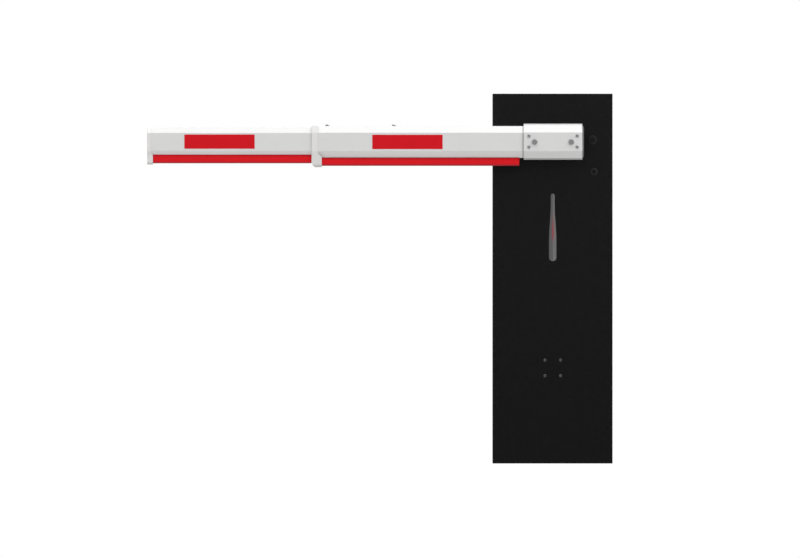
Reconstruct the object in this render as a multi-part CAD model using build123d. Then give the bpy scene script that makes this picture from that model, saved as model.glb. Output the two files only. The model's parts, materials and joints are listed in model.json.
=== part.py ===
from build123d import *
import math
import os

# Parking barrier gate: steel cabinet with a balanced boom drive inside and a
# two-section telescopic octagonal boom outside.
# Frame: origin at the centre of the cabinet footprint on the ground, +Z up,
# -Y is the boom side (front), +Y is the service door side, boom points to -X.
# All sizes in millimetres. Places on upright faces are (x, z) pairs.

SIGNS = (-1, 1)
CORNERS = [(sx, sz) for sx in SIGNS for sz in SIGNS]

# Cabinet
CABINET_W, CABINET_D, CABINET_TOP = 330.0, 290.0, 1019.4
SHEET = 2.0
SIDE_X, FRONT_Y, REAR_Y = CABINET_W / 2, -CABINET_D / 2, CABINET_D / 2
INSIDE_X, INSIDE_Y = SIDE_X - SHEET, REAR_Y - SHEET
FIT_X, FIT_Y = INSIDE_X - 0.1, INSIDE_Y - 0.1    # frames that slip inside the sheet
FRONT_CUT = (FRONT_Y - 5, FRONT_Y + 5)           # y span of cuts through the front sheet
SHELF_Z0 = 1001.0
SHELF_Z1 = SHELF_Z0 + SHEET
SHELF_CUT = (SHELF_Z0 - 1, SHELF_Z1 + 1)
HINGE = (-152.0, 139.0)                          # door hinge axis, (x, y)
LID_SCREWS = [(x, y) for x in (-151.0, 151.0) for y in (-131.0, 115.0)]

# Service door
DOOR_X, DOOR_Y0 = 160.5, 131.0
DOOR_Z0, DOOR_Z1 = 10.0, 999.0
LOCK = (125.0, 510.0)
LOUVRE_Z0, LOUVRE_PITCH, LOUVRE_H, LOUVRE_COUNT = 90, 16, 4, 6

# Front panel features
PLUG = (109.8, 892.0)
KEY = (114.0, 804.4)
KEY_PIN = (KEY[0] + 15.2, KEY[1])
PANEL_SCREW_X, PANEL_SCREW_Z, PANEL_SCREW_MID_Z = 21.5, 21.6, 263.4
PANEL_SCREWS = [(sx * PANEL_SCREW_X, PANEL_SCREW_MID_Z + sz * PANEL_SCREW_Z)
                for sx, sz in CORNERS]

# Shaft, rocker, crank and rod
PIVOT_Z = 886.0
ROD_L = 250.0                                    # shaft centre to gearhead centre
GEAR_Z = PIVOT_Z - ROD_L
PIVOT, GEAR = (0, PIVOT_Z), (0, GEAR_Z)
SHAFT_R = 15.0
SHAFT_BORE_R = SHAFT_R + 0.02
ARM_R = 70.0                                     # rocker and crank radius
PIN_OFFSET = ARM_R * math.sin(math.radians(45))
SPRING_PIN = (PIN_OFFSET, PIVOT_Z + PIN_OFFSET)
ROD_TOP = (-PIN_OFFSET, PIVOT_Z - PIN_OFFSET)
ROD_BOTTOM = (-PIN_OFFSET, GEAR_Z - PIN_OFFSET)
PIN_R = 6.0
ROCKER_Y0, ROCKER_Y1 = -101.0, -89.0             # also the crank plane
ROD_Y0, ROD_Y1 = -86.0, -74.0

# Plates, bearings and springs
PLATE_T = 6.0
BEARING_PLATE_Y0, DRIVE_PLATE_Y0 = -139.0, -56.0
BEARING_PLATE_Y1 = BEARING_PLATE_Y0 + PLATE_T
DRIVE_PLATE_Y1 = DRIVE_PLATE_Y0 + PLATE_T
BEARING_PLATE_CUT, DRIVE_PLATE_CUT = (-145, -130), (-60, -45)
PLATE_TOP = 985
BEARING_R, BEARING_W = 31.0, 16.0                # 30 x 62 x 16 ball bearings
HOUSING_FLOOR = 4
BEARING_STARTS = [y + HOUSING_FLOOR for y in (BEARING_PLATE_Y1, DRIVE_PLATE_Y1)]
BALL_CIRCLE_R, BALL_R, GROOVE_R = 23.0, 4.4, 4.46
SPACERS = [(-78, 968), (78, 968), (-22, 773), (22, 773)]
HOUSING_BOLTS = [(sx * 33, PIVOT_Z + sz * 33) for sx, sz in CORNERS]
GEAR_BOLTS = [(sx * 50, GEAR_Z + sz * 50) for sx, sz in CORNERS]
BUFFERS = [(10.4, PIVOT_Z + 46.2), (10.4, PIVOT_Z - 46.2)]
SPRING_PLANES = (-116.0, -74.0)
SPRING_R, WIRE_R = 11.5, 2.5
SPRING_Z0, SPRING_Z1, SPRING_TURNS = 473.0, 788.0, 30
ANCHOR_SHELF_Z0, ANCHOR_SHELF_Z1 = 430, 438

# Planetary gearhead and motor
MODULE, SUN_TEETH, PLANET_TEETH, RING_TEETH = 1.5, 12, 24, 60
PRESSURE_ANGLE = math.radians(20)
BACKLASH = 0.2
PLANET_R = MODULE * (SUN_TEETH + PLANET_TEETH) / 2
PLANETS = [(PLANET_R * math.cos(a), GEAR_Z + PLANET_R * math.sin(a))
           for a in (math.radians(90 + 120 * k) for k in range(3))]
GEAR_Y0, GEAR_Y1 = -25.0, -9.0
STATOR_Y0, STATOR_Y1 = 20, 86

# Controller
CASE_Y = FRONT_Y + SHEET                         # inner face of the front sheet
BOARD_Y = CASE_Y + 22.0                          # front face of the circuit board
BOARD_BACK_Y = BOARD_Y + 1.6

# Boom sections: heights are measured from the axis, FLAT_UP and FLAT_DOWN
# are how far the upright side runs above and below it
BOOM_Y = -199.5
OUTER_HALF_Y, OUTER_TOP, OUTER_BOTTOM, OUTER_WALL = 26.0, 43.6, 43.8, 2.5
OUTER_FLAT_UP, OUTER_FLAT_DOWN = 25.3, 25.1
OUTER_X0, OUTER_X1 = -647.0, 79.2
INNER_HALF_Y, INNER_TOP, INNER_BOTTOM, INNER_WALL = 20.0, 40.2, 35.0, 2.2
INNER_FLAT = 24.7
INNER_X0, INNER_X1 = -1107.0, -96.0              # telescope retracted
OUTER_TOP_Z, OUTER_BOTTOM_Z = PIVOT_Z + OUTER_TOP, PIVOT_Z - OUTER_BOTTOM
INNER_BOTTOM_Z = PIVOT_Z - INNER_BOTTOM
COLLAR_X0, COLLAR_X1, COLLAR_FOOT_Z = -664.3, -636.6, 816.4
TIP_X0, TIP_X1, TIP_FOOT_Z = -1117.2, -1101.5, 823.7
TELESCOPE_X = (-622.5, -439.5)
PIN_STEP = 5.6                                   # telescope screw to its small pin
TUBE_WEB_HALF, WEB_CLEARANCE_HALF = 7.2, 7.6     # slot block in the tubes, gap around it

# Clamp: the rear shell is a little taller than the front one
CLAMP_X0, CLAMP_X1 = -80.4, 81.2
CLAMP_HALF_Y, CLAMP_FLAT_UP, CLAMP_FLAT_DOWN = 32.5, 26.1, 25.6
CLAMP_BACK_TOP, CLAMP_BACK_BOTTOM = 50.1, 48.75
CLAMP_FRONT_TOP, CLAMP_FRONT_BOTTOM = 46.55, 44.7
CLAMP_FACE_Y = BOOM_Y - CLAMP_HALF_Y
CLAMP_BOLTS = [(s * 50.5, PIVOT_Z) for s in SIGNS]
CLAMP_SCREWS = [(0.4 + sx * 66.4, PIVOT_Z + 1.3 + sz * 15.4) for sx, sz in CORNERS]


# ------------------------------------------------------------------- helpers
def box(x0, x1, y0, y1, z0, z1):
    return Pos((x0 + x1) / 2, (y0 + y1) / 2, (z0 + z1) / 2) * Box(x1 - x0, y1 - y0, z1 - z0)


def cyl_y(x, z, radius, y0, y1):
    return Pos(x, (y0 + y1) / 2, z) * Rot(90, 0, 0) * Cylinder(radius, y1 - y0)


def cyl_z(x, y, radius, z0, z1):
    return Pos(x, y, (z0 + z1) / 2) * Cylinder(radius, z1 - z0)


def prism_x(points, x0, x1):
    """Extrude (y, z) points along X."""
    face = Plane.YZ.offset(x0) * make_face(Polyline(*points, close=True))
    return extrude(face, amount=x1 - x0)


def prism_y(points, y0, y1):
    """Extrude (x, z) points along Y."""
    face = Plane.XZ.offset(-y1) * make_face(Polyline(*points, close=True))
    return extrude(face, amount=y1 - y0)


def hex_y(x, z, across_flats, y0, y1):
    radius = across_flats / math.sqrt(3)
    angles = [math.radians(60 * k + 30) for k in range(6)]
    return prism_y([(x + radius * math.cos(a), z + radius * math.sin(a)) for a in angles], y0, y1)


def hex_z(x, y, across_flats, z0, z1):
    hexagon = RegularPolygon(across_flats / 2, 6, major_radius=False)
    return Pos(x, y, z0) * extrude(hexagon, amount=z1 - z0)


def drill_y(solid, places, radius, y0, y1):
    for x, z in places:
        solid -= cyl_y(x, z, radius, y0, y1)
    return solid


def drill_z(solid, places, radius, z0, z1):
    for x, y in places:
        solid -= cyl_z(x, y, radius, z0, z1)
    return solid


def soften(solid, radius, kind, wanted=lambda edge: True):
    """Fillet the wanted edges of one kind (an axis or a geometry type)."""
    return fillet([edge for edge in solid.edges().filter_by(kind) if wanted(edge)], radius)


def is_proud(edge):
    """True for edges in front of the cabinet face."""
    return edge.center().Y < FRONT_Y - 2


def largest(shape):
    return max(shape.solids(), key=lambda solid: solid.volume)


def button_screw(x, z, seat_y, head_r, length):
    """Button head screw driven along +Y, head in front of seat_y."""
    head_h, shank_r, socket = 2.6, 2.5, 4.0
    top_y = seat_y - head_h
    head = cyl_y(x, z, head_r, top_y, seat_y)
    head = soften(head, head_h * 0.6, GeomType.CIRCLE,
                  lambda edge: abs(edge.center().Y - top_y) < 1e-3)
    head -= hex_y(x, z, socket, top_y - 1, top_y + 1.5)
    return head + cyl_y(x, z, shank_r, seat_y, seat_y + length)


def key_slot(y0, y1, bottom, top):
    """Cutter for a shaft key, heights from the shaft axis."""
    return box(-4.02, 4.02, y0, y1, PIVOT_Z + bottom, PIVOT_Z + top)


def at_boom(points):
    """Shift (y, z) points from the boom axis to the model frame."""
    return [(BOOM_Y + y, PIVOT_Z + z) for y, z in points]


def mirrored(points):
    """Close a +Y half outline with its mirror image, placed at the boom."""
    return at_boom(points + [(-y, z) for y, z in reversed(points)])


def bevel(half_y, flat, top_half, height, grow):
    """Side end and top end of one bevel, moved out square to itself by grow."""
    run, rise = half_y - top_half, height - flat
    length = math.hypot(run, rise)
    normal_y, normal_z = rise / length, run / length
    reach = half_y * normal_y + flat * normal_z + grow    # y*normal_y + z*normal_z = reach
    side, top = half_y + grow, height + grow
    return (side, (reach - side * normal_y) / normal_z), ((reach - top * normal_z) / normal_y, top)


def octagon(half_y, top, bottom, flat_up, flat_down, top_half, bottom_half, grow=0.0):
    """(y, z) points of a bevelled box section at the boom, grown outwards by grow."""
    side_up, crown = bevel(half_y, flat_up, top_half, top, grow)
    side_down, keel = bevel(half_y, flat_down, bottom_half, bottom, grow)
    return mirrored([crown, side_up, (side_down[0], -side_down[1]), (keel[0], -keel[1])])


def outer_section(grow=0.0):
    return octagon(OUTER_HALF_Y, OUTER_TOP, OUTER_BOTTOM, OUTER_FLAT_UP, OUTER_FLAT_DOWN,
                   7.2, 7.3, grow)


def inner_section(grow=0.0):
    return octagon(INNER_HALF_Y, INNER_TOP, INNER_BOTTOM, INNER_FLAT, INNER_FLAT, 6.0, 9.5, grow)


def clamp_section(grow=0.0):
    return octagon(CLAMP_HALF_Y, 48.6, 47.6, CLAMP_FLAT_UP, CLAMP_FLAT_DOWN, 10.0, 10.0, grow)


def gear_outline(teeth, addendum, dedendum, x=0, z=GEAR_Z, turn=0.0, flank_points=4,
                 internal=False):
    """Involute outline in (x, z), one tooth centred on the direction turn
    (degrees from +X towards +Z). Addendum and dedendum are in modules."""
    side = -1 if internal else 1
    pitch_r = MODULE * teeth / 2
    base_r = pitch_r * math.cos(PRESSURE_ANGLE)
    tip_r = pitch_r + side * addendum * MODULE
    root_r = pitch_r - side * dedendum * MODULE
    half_pitch_tooth = (math.pi * MODULE / 2 - BACKLASH) / 2 / pitch_r

    def involute(angle):
        return math.tan(angle) - angle

    def half_angle(radius):
        angle = 0.0 if radius < base_r else math.acos(base_r / radius)
        return half_pitch_tooth + side * (involute(PRESSURE_ANGLE) - involute(angle))

    low, high = (max(tip_r, base_r + 1e-6), root_r) if internal else (max(root_r, base_r), tip_r)
    radii = [low + (high - low) * i / (flank_points - 1) for i in range(flank_points)]
    if internal:
        radii = radii[::-1]
    tooth = [(r, -half_angle(r)) for r in radii] + [(r, half_angle(r)) for r in radii[::-1]]
    if not internal and root_r < base_r:
        # straight radial flanks below the base circle
        foot = half_angle(base_r)
        tooth = [(root_r, -foot)] + tooth + [(root_r, foot)]
    points = []
    for k in range(teeth):
        centre = 2 * math.pi * k / teeth + math.radians(turn)
        points += [(x + r * math.cos(centre + a), z + r * math.sin(centre + a)) for r, a in tooth]
    return points


def window(grow, y0, y1):
    """Indicator window shape, wider at the bottom, offset outwards by grow."""
    top_r, bottom_r = 5.4 + grow, 10.4 + grow
    top_z, bottom_z = 738.5, 568.2
    flare_top, flare_end = 715.0, 612.0
    right = [
        Line((top_r, top_z), (top_r, flare_top)),
        Spline((top_r, flare_top), (bottom_r, flare_end), tangents=[(0, -1), (0, -1)]),
        Line((bottom_r, flare_end), (bottom_r, bottom_z)),
    ]
    left = [
        Line((-bottom_r, bottom_z), (-bottom_r, flare_end)),
        Spline((-bottom_r, flare_end), (-top_r, flare_top), tangents=[(0, 1), (0, 1)]),
        Line((-top_r, flare_top), (-top_r, top_z)),
    ]
    bottom = ThreePointArc((bottom_r, bottom_z), (0, bottom_z - bottom_r), (-bottom_r, bottom_z))
    top = ThreePointArc((-top_r, top_z), (0, top_z + top_r), (top_r, top_z))
    curve = Curve() + right + [bottom] + left + [top]
    return extrude(Plane.XZ.offset(-y1) * make_face(curve), amount=y1 - y0)


# ------------------------------------------------------------------- cabinet
def cabinet_shell():
    shell = box(-SIDE_X, SIDE_X, FRONT_Y, REAR_Y, 0, CABINET_TOP)
    shell -= box(-INSIDE_X, INSIDE_X, FRONT_Y + SHEET, REAR_Y + 5, -1, CABINET_TOP + 1)
    shell = soften(shell, 2.2, Axis.Z, lambda edge: abs(edge.center().Y - FRONT_Y) < 0.01)
    shelf = box(-INSIDE_X, INSIDE_X, FRONT_Y + SHEET, REAR_Y, SHELF_Z0, SHELF_Z1)
    shelf -= box(-140, 140, -120, 105, *SHELF_CUT)
    rear_top = box(-INSIDE_X, INSIDE_X, INSIDE_Y, REAR_Y, SHELF_Z1, CABINET_TOP)
    # frame that the door gasket seats on
    flange = box(-INSIDE_X, INSIDE_X, 124, 126, 5, SHELF_Z0)
    flange -= box(-INSIDE_X + 25, INSIDE_X - 25, 120, 130, 30, 981)
    shell = shell + shelf + rear_top + flange
    shell = drill_y(shell, [PIVOT], 32.0, *FRONT_CUT)
    shell -= window(0.25, *FRONT_CUT)
    shell = drill_y(shell, PANEL_SCREWS, 2.75, *FRONT_CUT)
    for place, radius in ((PLUG, 11.25), (KEY, 8.5), (KEY_PIN, 2.45)):
        shell -= cyl_y(*place, radius, *FRONT_CUT)
    shell -= cyl_z(*HINGE, 4.05, *SHELF_CUT)
    return largest(drill_z(shell, LID_SCREWS, 2.75, *SHELF_CUT))


def top_cover():
    half_x, half_y, z0 = INSIDE_X - 0.4, INSIDE_Y - 0.4, SHELF_Z1 + 0.2
    ceiling = CABINET_TOP - SHEET
    lid = box(-half_x, half_x, -half_y, half_y, z0, CABINET_TOP)
    lid -= box(-half_x + SHEET, half_x - SHEET, -half_y + SHEET, half_y - SHEET, 1000, ceiling)
    for place in LID_SCREWS:
        lid += cyl_z(*place, 6.0, z0, ceiling)
        lid -= cyl_z(*place, 2.55, 1000, 1012)
    return lid


def base_frame():
    base = box(-FIT_X, FIT_X, -FIT_Y, FIT_Y, 0, 5) - box(-75, 75, -60, 60, -1, 6)
    base = soften(base, 12.0, Axis.Z, lambda edge: abs(edge.center().X) < 80)
    base = drill_z(base, [(x, y) for x in (-125, 125) for y in (-105, 105)], 7.0, -1, 6)
    return drill_z(base, [HINGE], 4.05, -1, 6)


def door_gasket():
    return box(-145.5, 157, 126, 130, 15, 994) - box(-138.6, 145, 120, 135, 27, 982)


def rear_door():
    inner_x, z0, z1 = DOOR_X - SHEET, DOOR_Z0 + SHEET, DOOR_Z1 - SHEET
    panel = box(-DOOR_X, DOOR_X, DOOR_Y0, REAR_Y, DOOR_Z0, DOOR_Z1)
    panel -= box(-inner_x, inner_x, DOOR_Y0 - 1, INSIDE_Y, z0, z1)
    panel -= box(-161, -158.4, DOOR_Y0 - 1, 137, z0, z1)    # short return on the hinge side
    # hinge blocks
    for block_z0, block_z1 in ((z0, 25), (985, z1)):
        panel += box(-158.6, -146, 134, 143.2, block_z0, block_z1)
    # vertical stiffening channel
    panel += box(-12, 12, 135, 143.2, 60, 940) - box(-10, 10, 134, 141.2, 50, 950)
    for k in range(LOUVRE_COUNT):
        z = LOUVRE_Z0 + LOUVRE_PITCH * k
        for x0, x1 in ((-95, -30), (30, 95)):
            panel -= box(x0, x1, 142, 146, z, z + LOUVRE_H)
    panel += cyl_z(*HINGE, 4.0, 1.0, 24.0)
    panel += cyl_z(*HINGE, 4.0, 986.0, 1002.6)
    panel -= cyl_y(*LOCK, 9.5, 140, 150)

    def is_outer_corner(edge):
        centre = edge.center()
        return abs(centre.Y - REAR_Y) < 0.01 and abs(abs(centre.X) - DOOR_X) < 0.01

    return largest(soften(panel, 1.5, Axis.Z, is_outer_corner))


def door_lock_body():
    body = cyl_y(*LOCK, 12.0, REAR_Y, REAR_Y + 2.2) + cyl_y(*LOCK, 9.4, 123, REAR_Y)
    body += hex_y(*LOCK, 26, 138, 143)
    return body - cyl_y(*LOCK, 6.05, 120, REAR_Y + 5)


def door_lock_cam():
    x, z = LOCK
    cam = cyl_y(x, z, 6.0, 117, REAR_Y + 1.6)
    cam += box(x - 7, x + 7, 118, 121, z - 32, z)
    return cam - box(x - 0.6, x + 0.6, REAR_Y - 4, REAR_Y + 3, z - 3.5, z + 3.5)


# ------------------------------------------------------- front panel features
def indicator_lens():
    # raised window with a shallow ridge down the middle
    ridge_points = [(-12.0, FRONT_Y + 0.9), (0, FRONT_Y - 2.2), (12.0, FRONT_Y + 0.9),
                    (12.0, FRONT_Y + 4), (-12.0, FRONT_Y + 4)]
    ridge_face = Plane.XY.offset(550) * make_face(Polyline(*ridge_points, close=True))
    ridge = extrude(ridge_face, amount=200)
    lens = window(0.0, FRONT_Y - 3.0, FRONT_Y + 3.0) & ridge
    lens = lens + box(-17, 17, FRONT_Y + 2.05, FRONT_Y + 5.0, 543, 755)
    lens -= box(-14, 14, FRONT_Y + 3.6, FRONT_Y + 6, 546, 752)
    # rear skirt that holds the light board
    skirt = box(-17, 17, FRONT_Y + 5.0, FRONT_Y + 20.0, 543, 755)
    skirt -= box(-14, 14, FRONT_Y + 4, FRONT_Y + 21, 546, 752)
    return largest(lens + skirt)


def indicator_board():
    front = FRONT_Y + 14.0
    board = box(-13.6, 13.6, front, front + 1.6, 546.5, 751.5)
    return board + [box(-2.5, 2.5, front - 1.8, front, z - 2.5, z + 2.5)
                    for z in range(560, 745, 20)]


def front_panel_screws():
    return Compound(children=[button_screw(x, z, FRONT_Y, 4.3, 12) for x, z in PANEL_SCREWS])


def blanking_plug():
    plug = soften(cyl_y(*PLUG, 12.6, FRONT_Y - 2.6, FRONT_Y), 2.2, GeomType.CIRCLE, is_proud)
    plug += cyl_y(*PLUG, 11.1, FRONT_Y, FRONT_Y + 8)
    plug += cyl_y(*PLUG, 11.9, FRONT_Y + 2.3, FRONT_Y + 4.2)
    plug -= cyl_y(*PLUG, 9.4, FRONT_Y + 0.4, FRONT_Y + 9)
    return largest(plug)


def key_switch_body():
    x, z = KEY
    body = soften(cyl_y(x, z, 10.2, FRONT_Y - 2.2, FRONT_Y), 1.2, GeomType.CIRCLE, is_proud)
    body += cyl_y(x, z, 8.4, FRONT_Y, FRONT_Y + 24) + hex_y(x, z, 22, FRONT_Y + 2, FRONT_Y + 6)
    body += box(x - 11, x + 11, FRONT_Y + 24, FRONT_Y + 48, z - 16, z + 16)
    # index plate behind the sheet with its pin beside the switch
    index = box(x - 9, x + 18.6, FRONT_Y + 2.05, FRONT_Y + 3.6, z - 6.5, z + 6.5)
    body = body + index + cyl_y(*KEY_PIN, 2.35, FRONT_Y - 1.0, FRONT_Y + 2.5)
    return body - cyl_y(x, z, 6.05, FRONT_Y - 5, FRONT_Y + 22)


def key_switch_plug():
    x, z = KEY
    plug = cyl_y(x, z, 6.0, FRONT_Y - 1.8, FRONT_Y + 21.5)
    return plug - box(x - 0.6, x + 0.6, FRONT_Y - 3, FRONT_Y + 6, z - 3.6, z + 3.6)


def shaft_seal():
    ring = cyl_y(*PIVOT, 38.0, FRONT_Y - 2.5, FRONT_Y) + cyl_y(*PIVOT, 31.8, FRONT_Y, FRONT_Y + 2)
    ring -= cyl_y(*PIVOT, 29.6, *FRONT_CUT)
    return soften(ring, 1.2, GeomType.CIRCLE, lambda edge: is_proud(edge) and edge.radius > 35)


# ------------------------------------------------------------------ chassis
def bearing_plate():
    half_x = 92
    plate = box(-half_x, half_x, BEARING_PLATE_Y0, BEARING_PLATE_Y1, 762, PLATE_TOP)
    for places, radius in (([PIVOT], 20), (SPACERS, 4.2), (HOUSING_BOLTS, 3.5)):
        plate = drill_y(plate, places, radius, *BEARING_PLATE_CUT)
    return soften(plate, 8.0, Axis.Y, lambda edge: abs(abs(edge.center().X) - half_x) < 0.1)


def drive_plate():
    bottom = 380
    plate = box(-FIT_X, FIT_X, DRIVE_PLATE_Y0, DRIVE_PLATE_Y1, bottom, PLATE_TOP)
    for s in SIGNS:
        x0, x1 = sorted((s * (FIT_X - 4), s * FIT_X))
        plate += box(x0, x1, DRIVE_PLATE_Y0, -12, bottom, PLATE_TOP)
    plate = drill_y(plate, [PIVOT], 20, *DRIVE_PLATE_CUT)
    plate = drill_y(plate, [GEAR], 30, *DRIVE_PLATE_CUT)
    # welded shelf on two ribs that takes the spring anchors
    plate += box(22, 82, -132, DRIVE_PLATE_Y0, ANCHOR_SHELF_Z0, ANCHOR_SHELF_Z1)
    ribs = box(22, 28, -110, DRIVE_PLATE_Y0, 390, ANCHOR_SHELF_Z0)
    ribs += box(76, 82, -110, DRIVE_PLATE_Y0, 390, ANCHOR_SHELF_Z0)
    plate += ribs
    plate = drill_z(plate, [(PIN_OFFSET, y) for y in SPRING_PLANES], 5.5, 425, 445)
    for places, radius in ((SPACERS, 4.2), (HOUSING_BOLTS, 3.5), (GEAR_BOLTS, 3.5),
                           (BUFFERS, 4.05)):
        plate = drill_y(plate, places, radius, *DRIVE_PLATE_CUT)
    return largest(plate)


def plate_spacers():
    spacers = []
    for x, z in SPACERS:
        spacer = cyl_y(x, z, 8.0, BEARING_PLATE_Y1, DRIVE_PLATE_Y0)
        spacer += cyl_y(x, z, 4.0, BEARING_PLATE_Y0, BEARING_PLATE_Y1)
        spacer += cyl_y(x, z, 4.0, DRIVE_PLATE_Y0, DRIVE_PLATE_Y1)
        spacer += hex_y(x, z, 13, DRIVE_PLATE_Y1, DRIVE_PLATE_Y1 + 6)
        spacers.append(spacer)
    return Compound(children=spacers)


def bearing_housings():
    housings = []
    for y in (BEARING_PLATE_Y1, DRIVE_PLATE_Y1):
        housing = box(-44, 44, y, y + 8, PIVOT_Z - 44, PIVOT_Z + 44)
        housing = soften(housing, 10.0, Axis.Y)
        housing += cyl_y(*PIVOT, 40.0, y, y + 21)
        housing -= cyl_y(*PIVOT, 20.0, y - 1, y + 5)
        housing -= cyl_y(*PIVOT, BEARING_R + 0.02, y + HOUSING_FLOOR, y + 25)
        for place in HOUSING_BOLTS:
            housing -= cyl_y(*place, 3.5, y - 1, y + 9)
            housing -= cyl_y(*place, 7.2, y + 8, y + 25)
        housings.append(largest(housing))
    return Compound(children=housings)


def flange_bolts():
    def bolt(place, head_y0, head_y1, shank_y0, shank_y1):
        return hex_y(*place, 11, head_y0, head_y1) + cyl_y(*place, 3.3, shank_y0, shank_y1)

    bolts = []
    for y0, y1 in ((BEARING_PLATE_Y0, BEARING_PLATE_Y1), (DRIVE_PLATE_Y0, DRIVE_PLATE_Y1)):
        bolts += [bolt(place, y1 + 8, y1 + 12.5, y0 + 0.5, y1 + 8) for place in HOUSING_BOLTS]
    bolts += [bolt(place, DRIVE_PLATE_Y0 - 3.0, DRIVE_PLATE_Y0, DRIVE_PLATE_Y0,
                   DRIVE_PLATE_Y1 + 9.5) for place in GEAR_BOLTS]
    return Compound(children=bolts)


def bearing_race(y, outside_r, bore_r):
    race = cyl_y(*PIVOT, outside_r, y, y + BEARING_W)
    race -= cyl_y(*PIVOT, bore_r, y - 1, y + BEARING_W + 1)
    groove = Rot(90, 0, 0) * Torus(BALL_CIRCLE_R, GROOVE_R)
    return largest(race - Pos(0, y + BEARING_W / 2, PIVOT_Z) * groove)


def bearing_outer_races():
    """Outer races together with their balls."""
    pieces = []
    for y in BEARING_STARTS:
        pieces.append(bearing_race(y, BEARING_R, 26.5))
        for k in range(9):
            a = math.radians(40 * k)
            x, z = BALL_CIRCLE_R * math.cos(a), PIVOT_Z + BALL_CIRCLE_R * math.sin(a)
            pieces.append(Pos(x, y + BEARING_W / 2, z) * Sphere(BALL_R))
    return Compound(children=pieces)


def bearing_inner_races():
    return Compound(children=[bearing_race(y, 19.5, SHAFT_BORE_R) for y in BEARING_STARTS])


def limit_buffers():
    pieces = []
    for place in BUFFERS:
        post = cyl_y(*place, 4.0, -104, DRIVE_PLATE_Y1) + cyl_y(*place, 7.0, -88, DRIVE_PLATE_Y0)
        post += cyl_y(*place, 7.0, -104, -102)
        sleeve = cyl_y(*place, 9.9, -101.9, -88.1) - cyl_y(*place, 4.1, -103, -87)
        pieces += [post, sleeve]
    return Compound(children=pieces)


def spring_anchor_bolts():
    bolts = []
    for y in SPRING_PLANES:
        axis = (PIN_OFFSET, y)
        bolt = cyl_z(*axis, 5.0, 402, 470)
        bolt += hex_z(*axis, 17, ANCHOR_SHELF_Z1, ANCHOR_SHELF_Z1 + 8)
        bolt += hex_z(*axis, 17, ANCHOR_SHELF_Z0 - 9, ANCHOR_SHELF_Z0)
        bolt += cyl_z(*axis, 8.8, 468, 492) + hex_z(*axis, 22, 460, 468)
        bolts.append(bolt)
    return Compound(children=bolts)


def spring_hangers():
    hangers = []
    for y in SPRING_PLANES:
        axis = (PIN_OFFSET, y)
        hanger = cyl_y(*SPRING_PIN, 12.0, y - 6, y + 6)
        hanger -= cyl_y(*SPRING_PIN, PIN_R + 0.05, y - 7, y + 7)
        stem = cyl_z(*axis, 5.0, 795, SPRING_PIN[1] - 9.5)
        hanger = hanger + stem + cyl_z(*axis, 8.8, 768, 795) + hex_z(*axis, 22, 792, 800)
        hangers.append(hanger)
    return Compound(children=hangers)


def balance_springs():
    height = SPRING_Z1 - SPRING_Z0
    springs = []
    for y in SPRING_PLANES:
        helix = Helix(pitch=height / SPRING_TURNS, height=height, radius=SPRING_R)
        wire = Plane(origin=helix @ 0, z_dir=helix % 0) * Circle(WIRE_R)
        springs.append(Pos(PIN_OFFSET, y, SPRING_Z0) * sweep(wire, path=helix, is_frenet=True))
    return Compound(children=springs)


# ----------------------------------------------------- shaft, rocker and rod
def main_shaft():
    shaft = cyl_y(*PIVOT, SHAFT_R, -157.5, -14) - cyl_y(*PIVOT, 5.02, -158, -131)
    rear_rim = [edge for edge in shaft.edges().filter_by(GeomType.CIRCLE) if edge.center().Y > -15]
    shaft = chamfer(rear_rim, 1.5)
    shaft -= key_slot(-156, -142, 11.0, 20) + key_slot(-103, -87, 11.0, 20)
    # shoulders between the rocker and the two bearings
    shaft += cyl_y(*PIVOT, 18.5, BEARING_STARTS[0] + BEARING_W, -105.2)
    return shaft + cyl_y(*PIVOT, 18.5, -84.8, BEARING_STARTS[1])


def shaft_keys():
    return Compound(children=[box(-4, 4, y0, y1, PIVOT_Z + 11.05, PIVOT_Z + 18.4)
                              for y0, y1 in ((-155.9, -142.1), (-102.9, -87.1))])


def rocker_lever():
    lever = cyl_y(*PIVOT, 27.0, -105, -85)
    arm = box(-ARM_R, ARM_R, ROCKER_Y0, ROCKER_Y1, -15, 15)
    lever += Pos(0, 0, PIVOT_Z) * Rot(0, -45, 0) * arm
    for place in (ROD_TOP, SPRING_PIN):
        lever += cyl_y(*place, 17.0, ROCKER_Y0, ROCKER_Y1)
    lever -= cyl_y(*PIVOT, SHAFT_BORE_R, -110, -80)
    lever -= key_slot(-106, -84, 10, 18.5)
    return drill_y(lever, (ROD_TOP, SPRING_PIN), PIN_R + 0.02, -110, -80)


def rocker_pins():
    upper = cyl_y(*SPRING_PIN, PIN_R, -128, -63) + cyl_y(*SPRING_PIN, 9.0, -131, -128)
    upper += cyl_y(*SPRING_PIN, 8.5, -66, -64)
    lower = cyl_y(*ROD_TOP, PIN_R, -104, -69) + cyl_y(*ROD_TOP, 9.0, -104, ROCKER_Y0)
    collars = cyl_y(*ROD_TOP, 8.5, -72.5, -71)
    lower = lower + collars + cyl_y(*ROD_TOP, 8.5, ROCKER_Y1, ROD_Y0 - 0.2)
    return Compound(children=[upper, lower])


def connecting_rod():
    axis = (-PIN_OFFSET, (ROD_Y0 + ROD_Y1) / 2)
    top, bottom = ROD_TOP[1], ROD_BOTTOM[1]
    rod = cyl_y(*ROD_TOP, 15.0, ROD_Y0, ROD_Y1) + cyl_y(*ROD_BOTTOM, 15.0, ROD_Y0, ROD_Y1)
    rod += cyl_z(*axis, 5.5, bottom + 12, top - 12)
    rod += hex_z(*axis, 17, bottom + 40, bottom + 50) + hex_z(*axis, 17, top - 50, top - 40)
    rod += hex_z(*axis, 15, bottom + 50, top - 50)
    rod -= cyl_y(*ROD_TOP, 6.05, -90, -70)
    return rod - cyl_y(*ROD_BOTTOM, 6.2, -90, -70)


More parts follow.
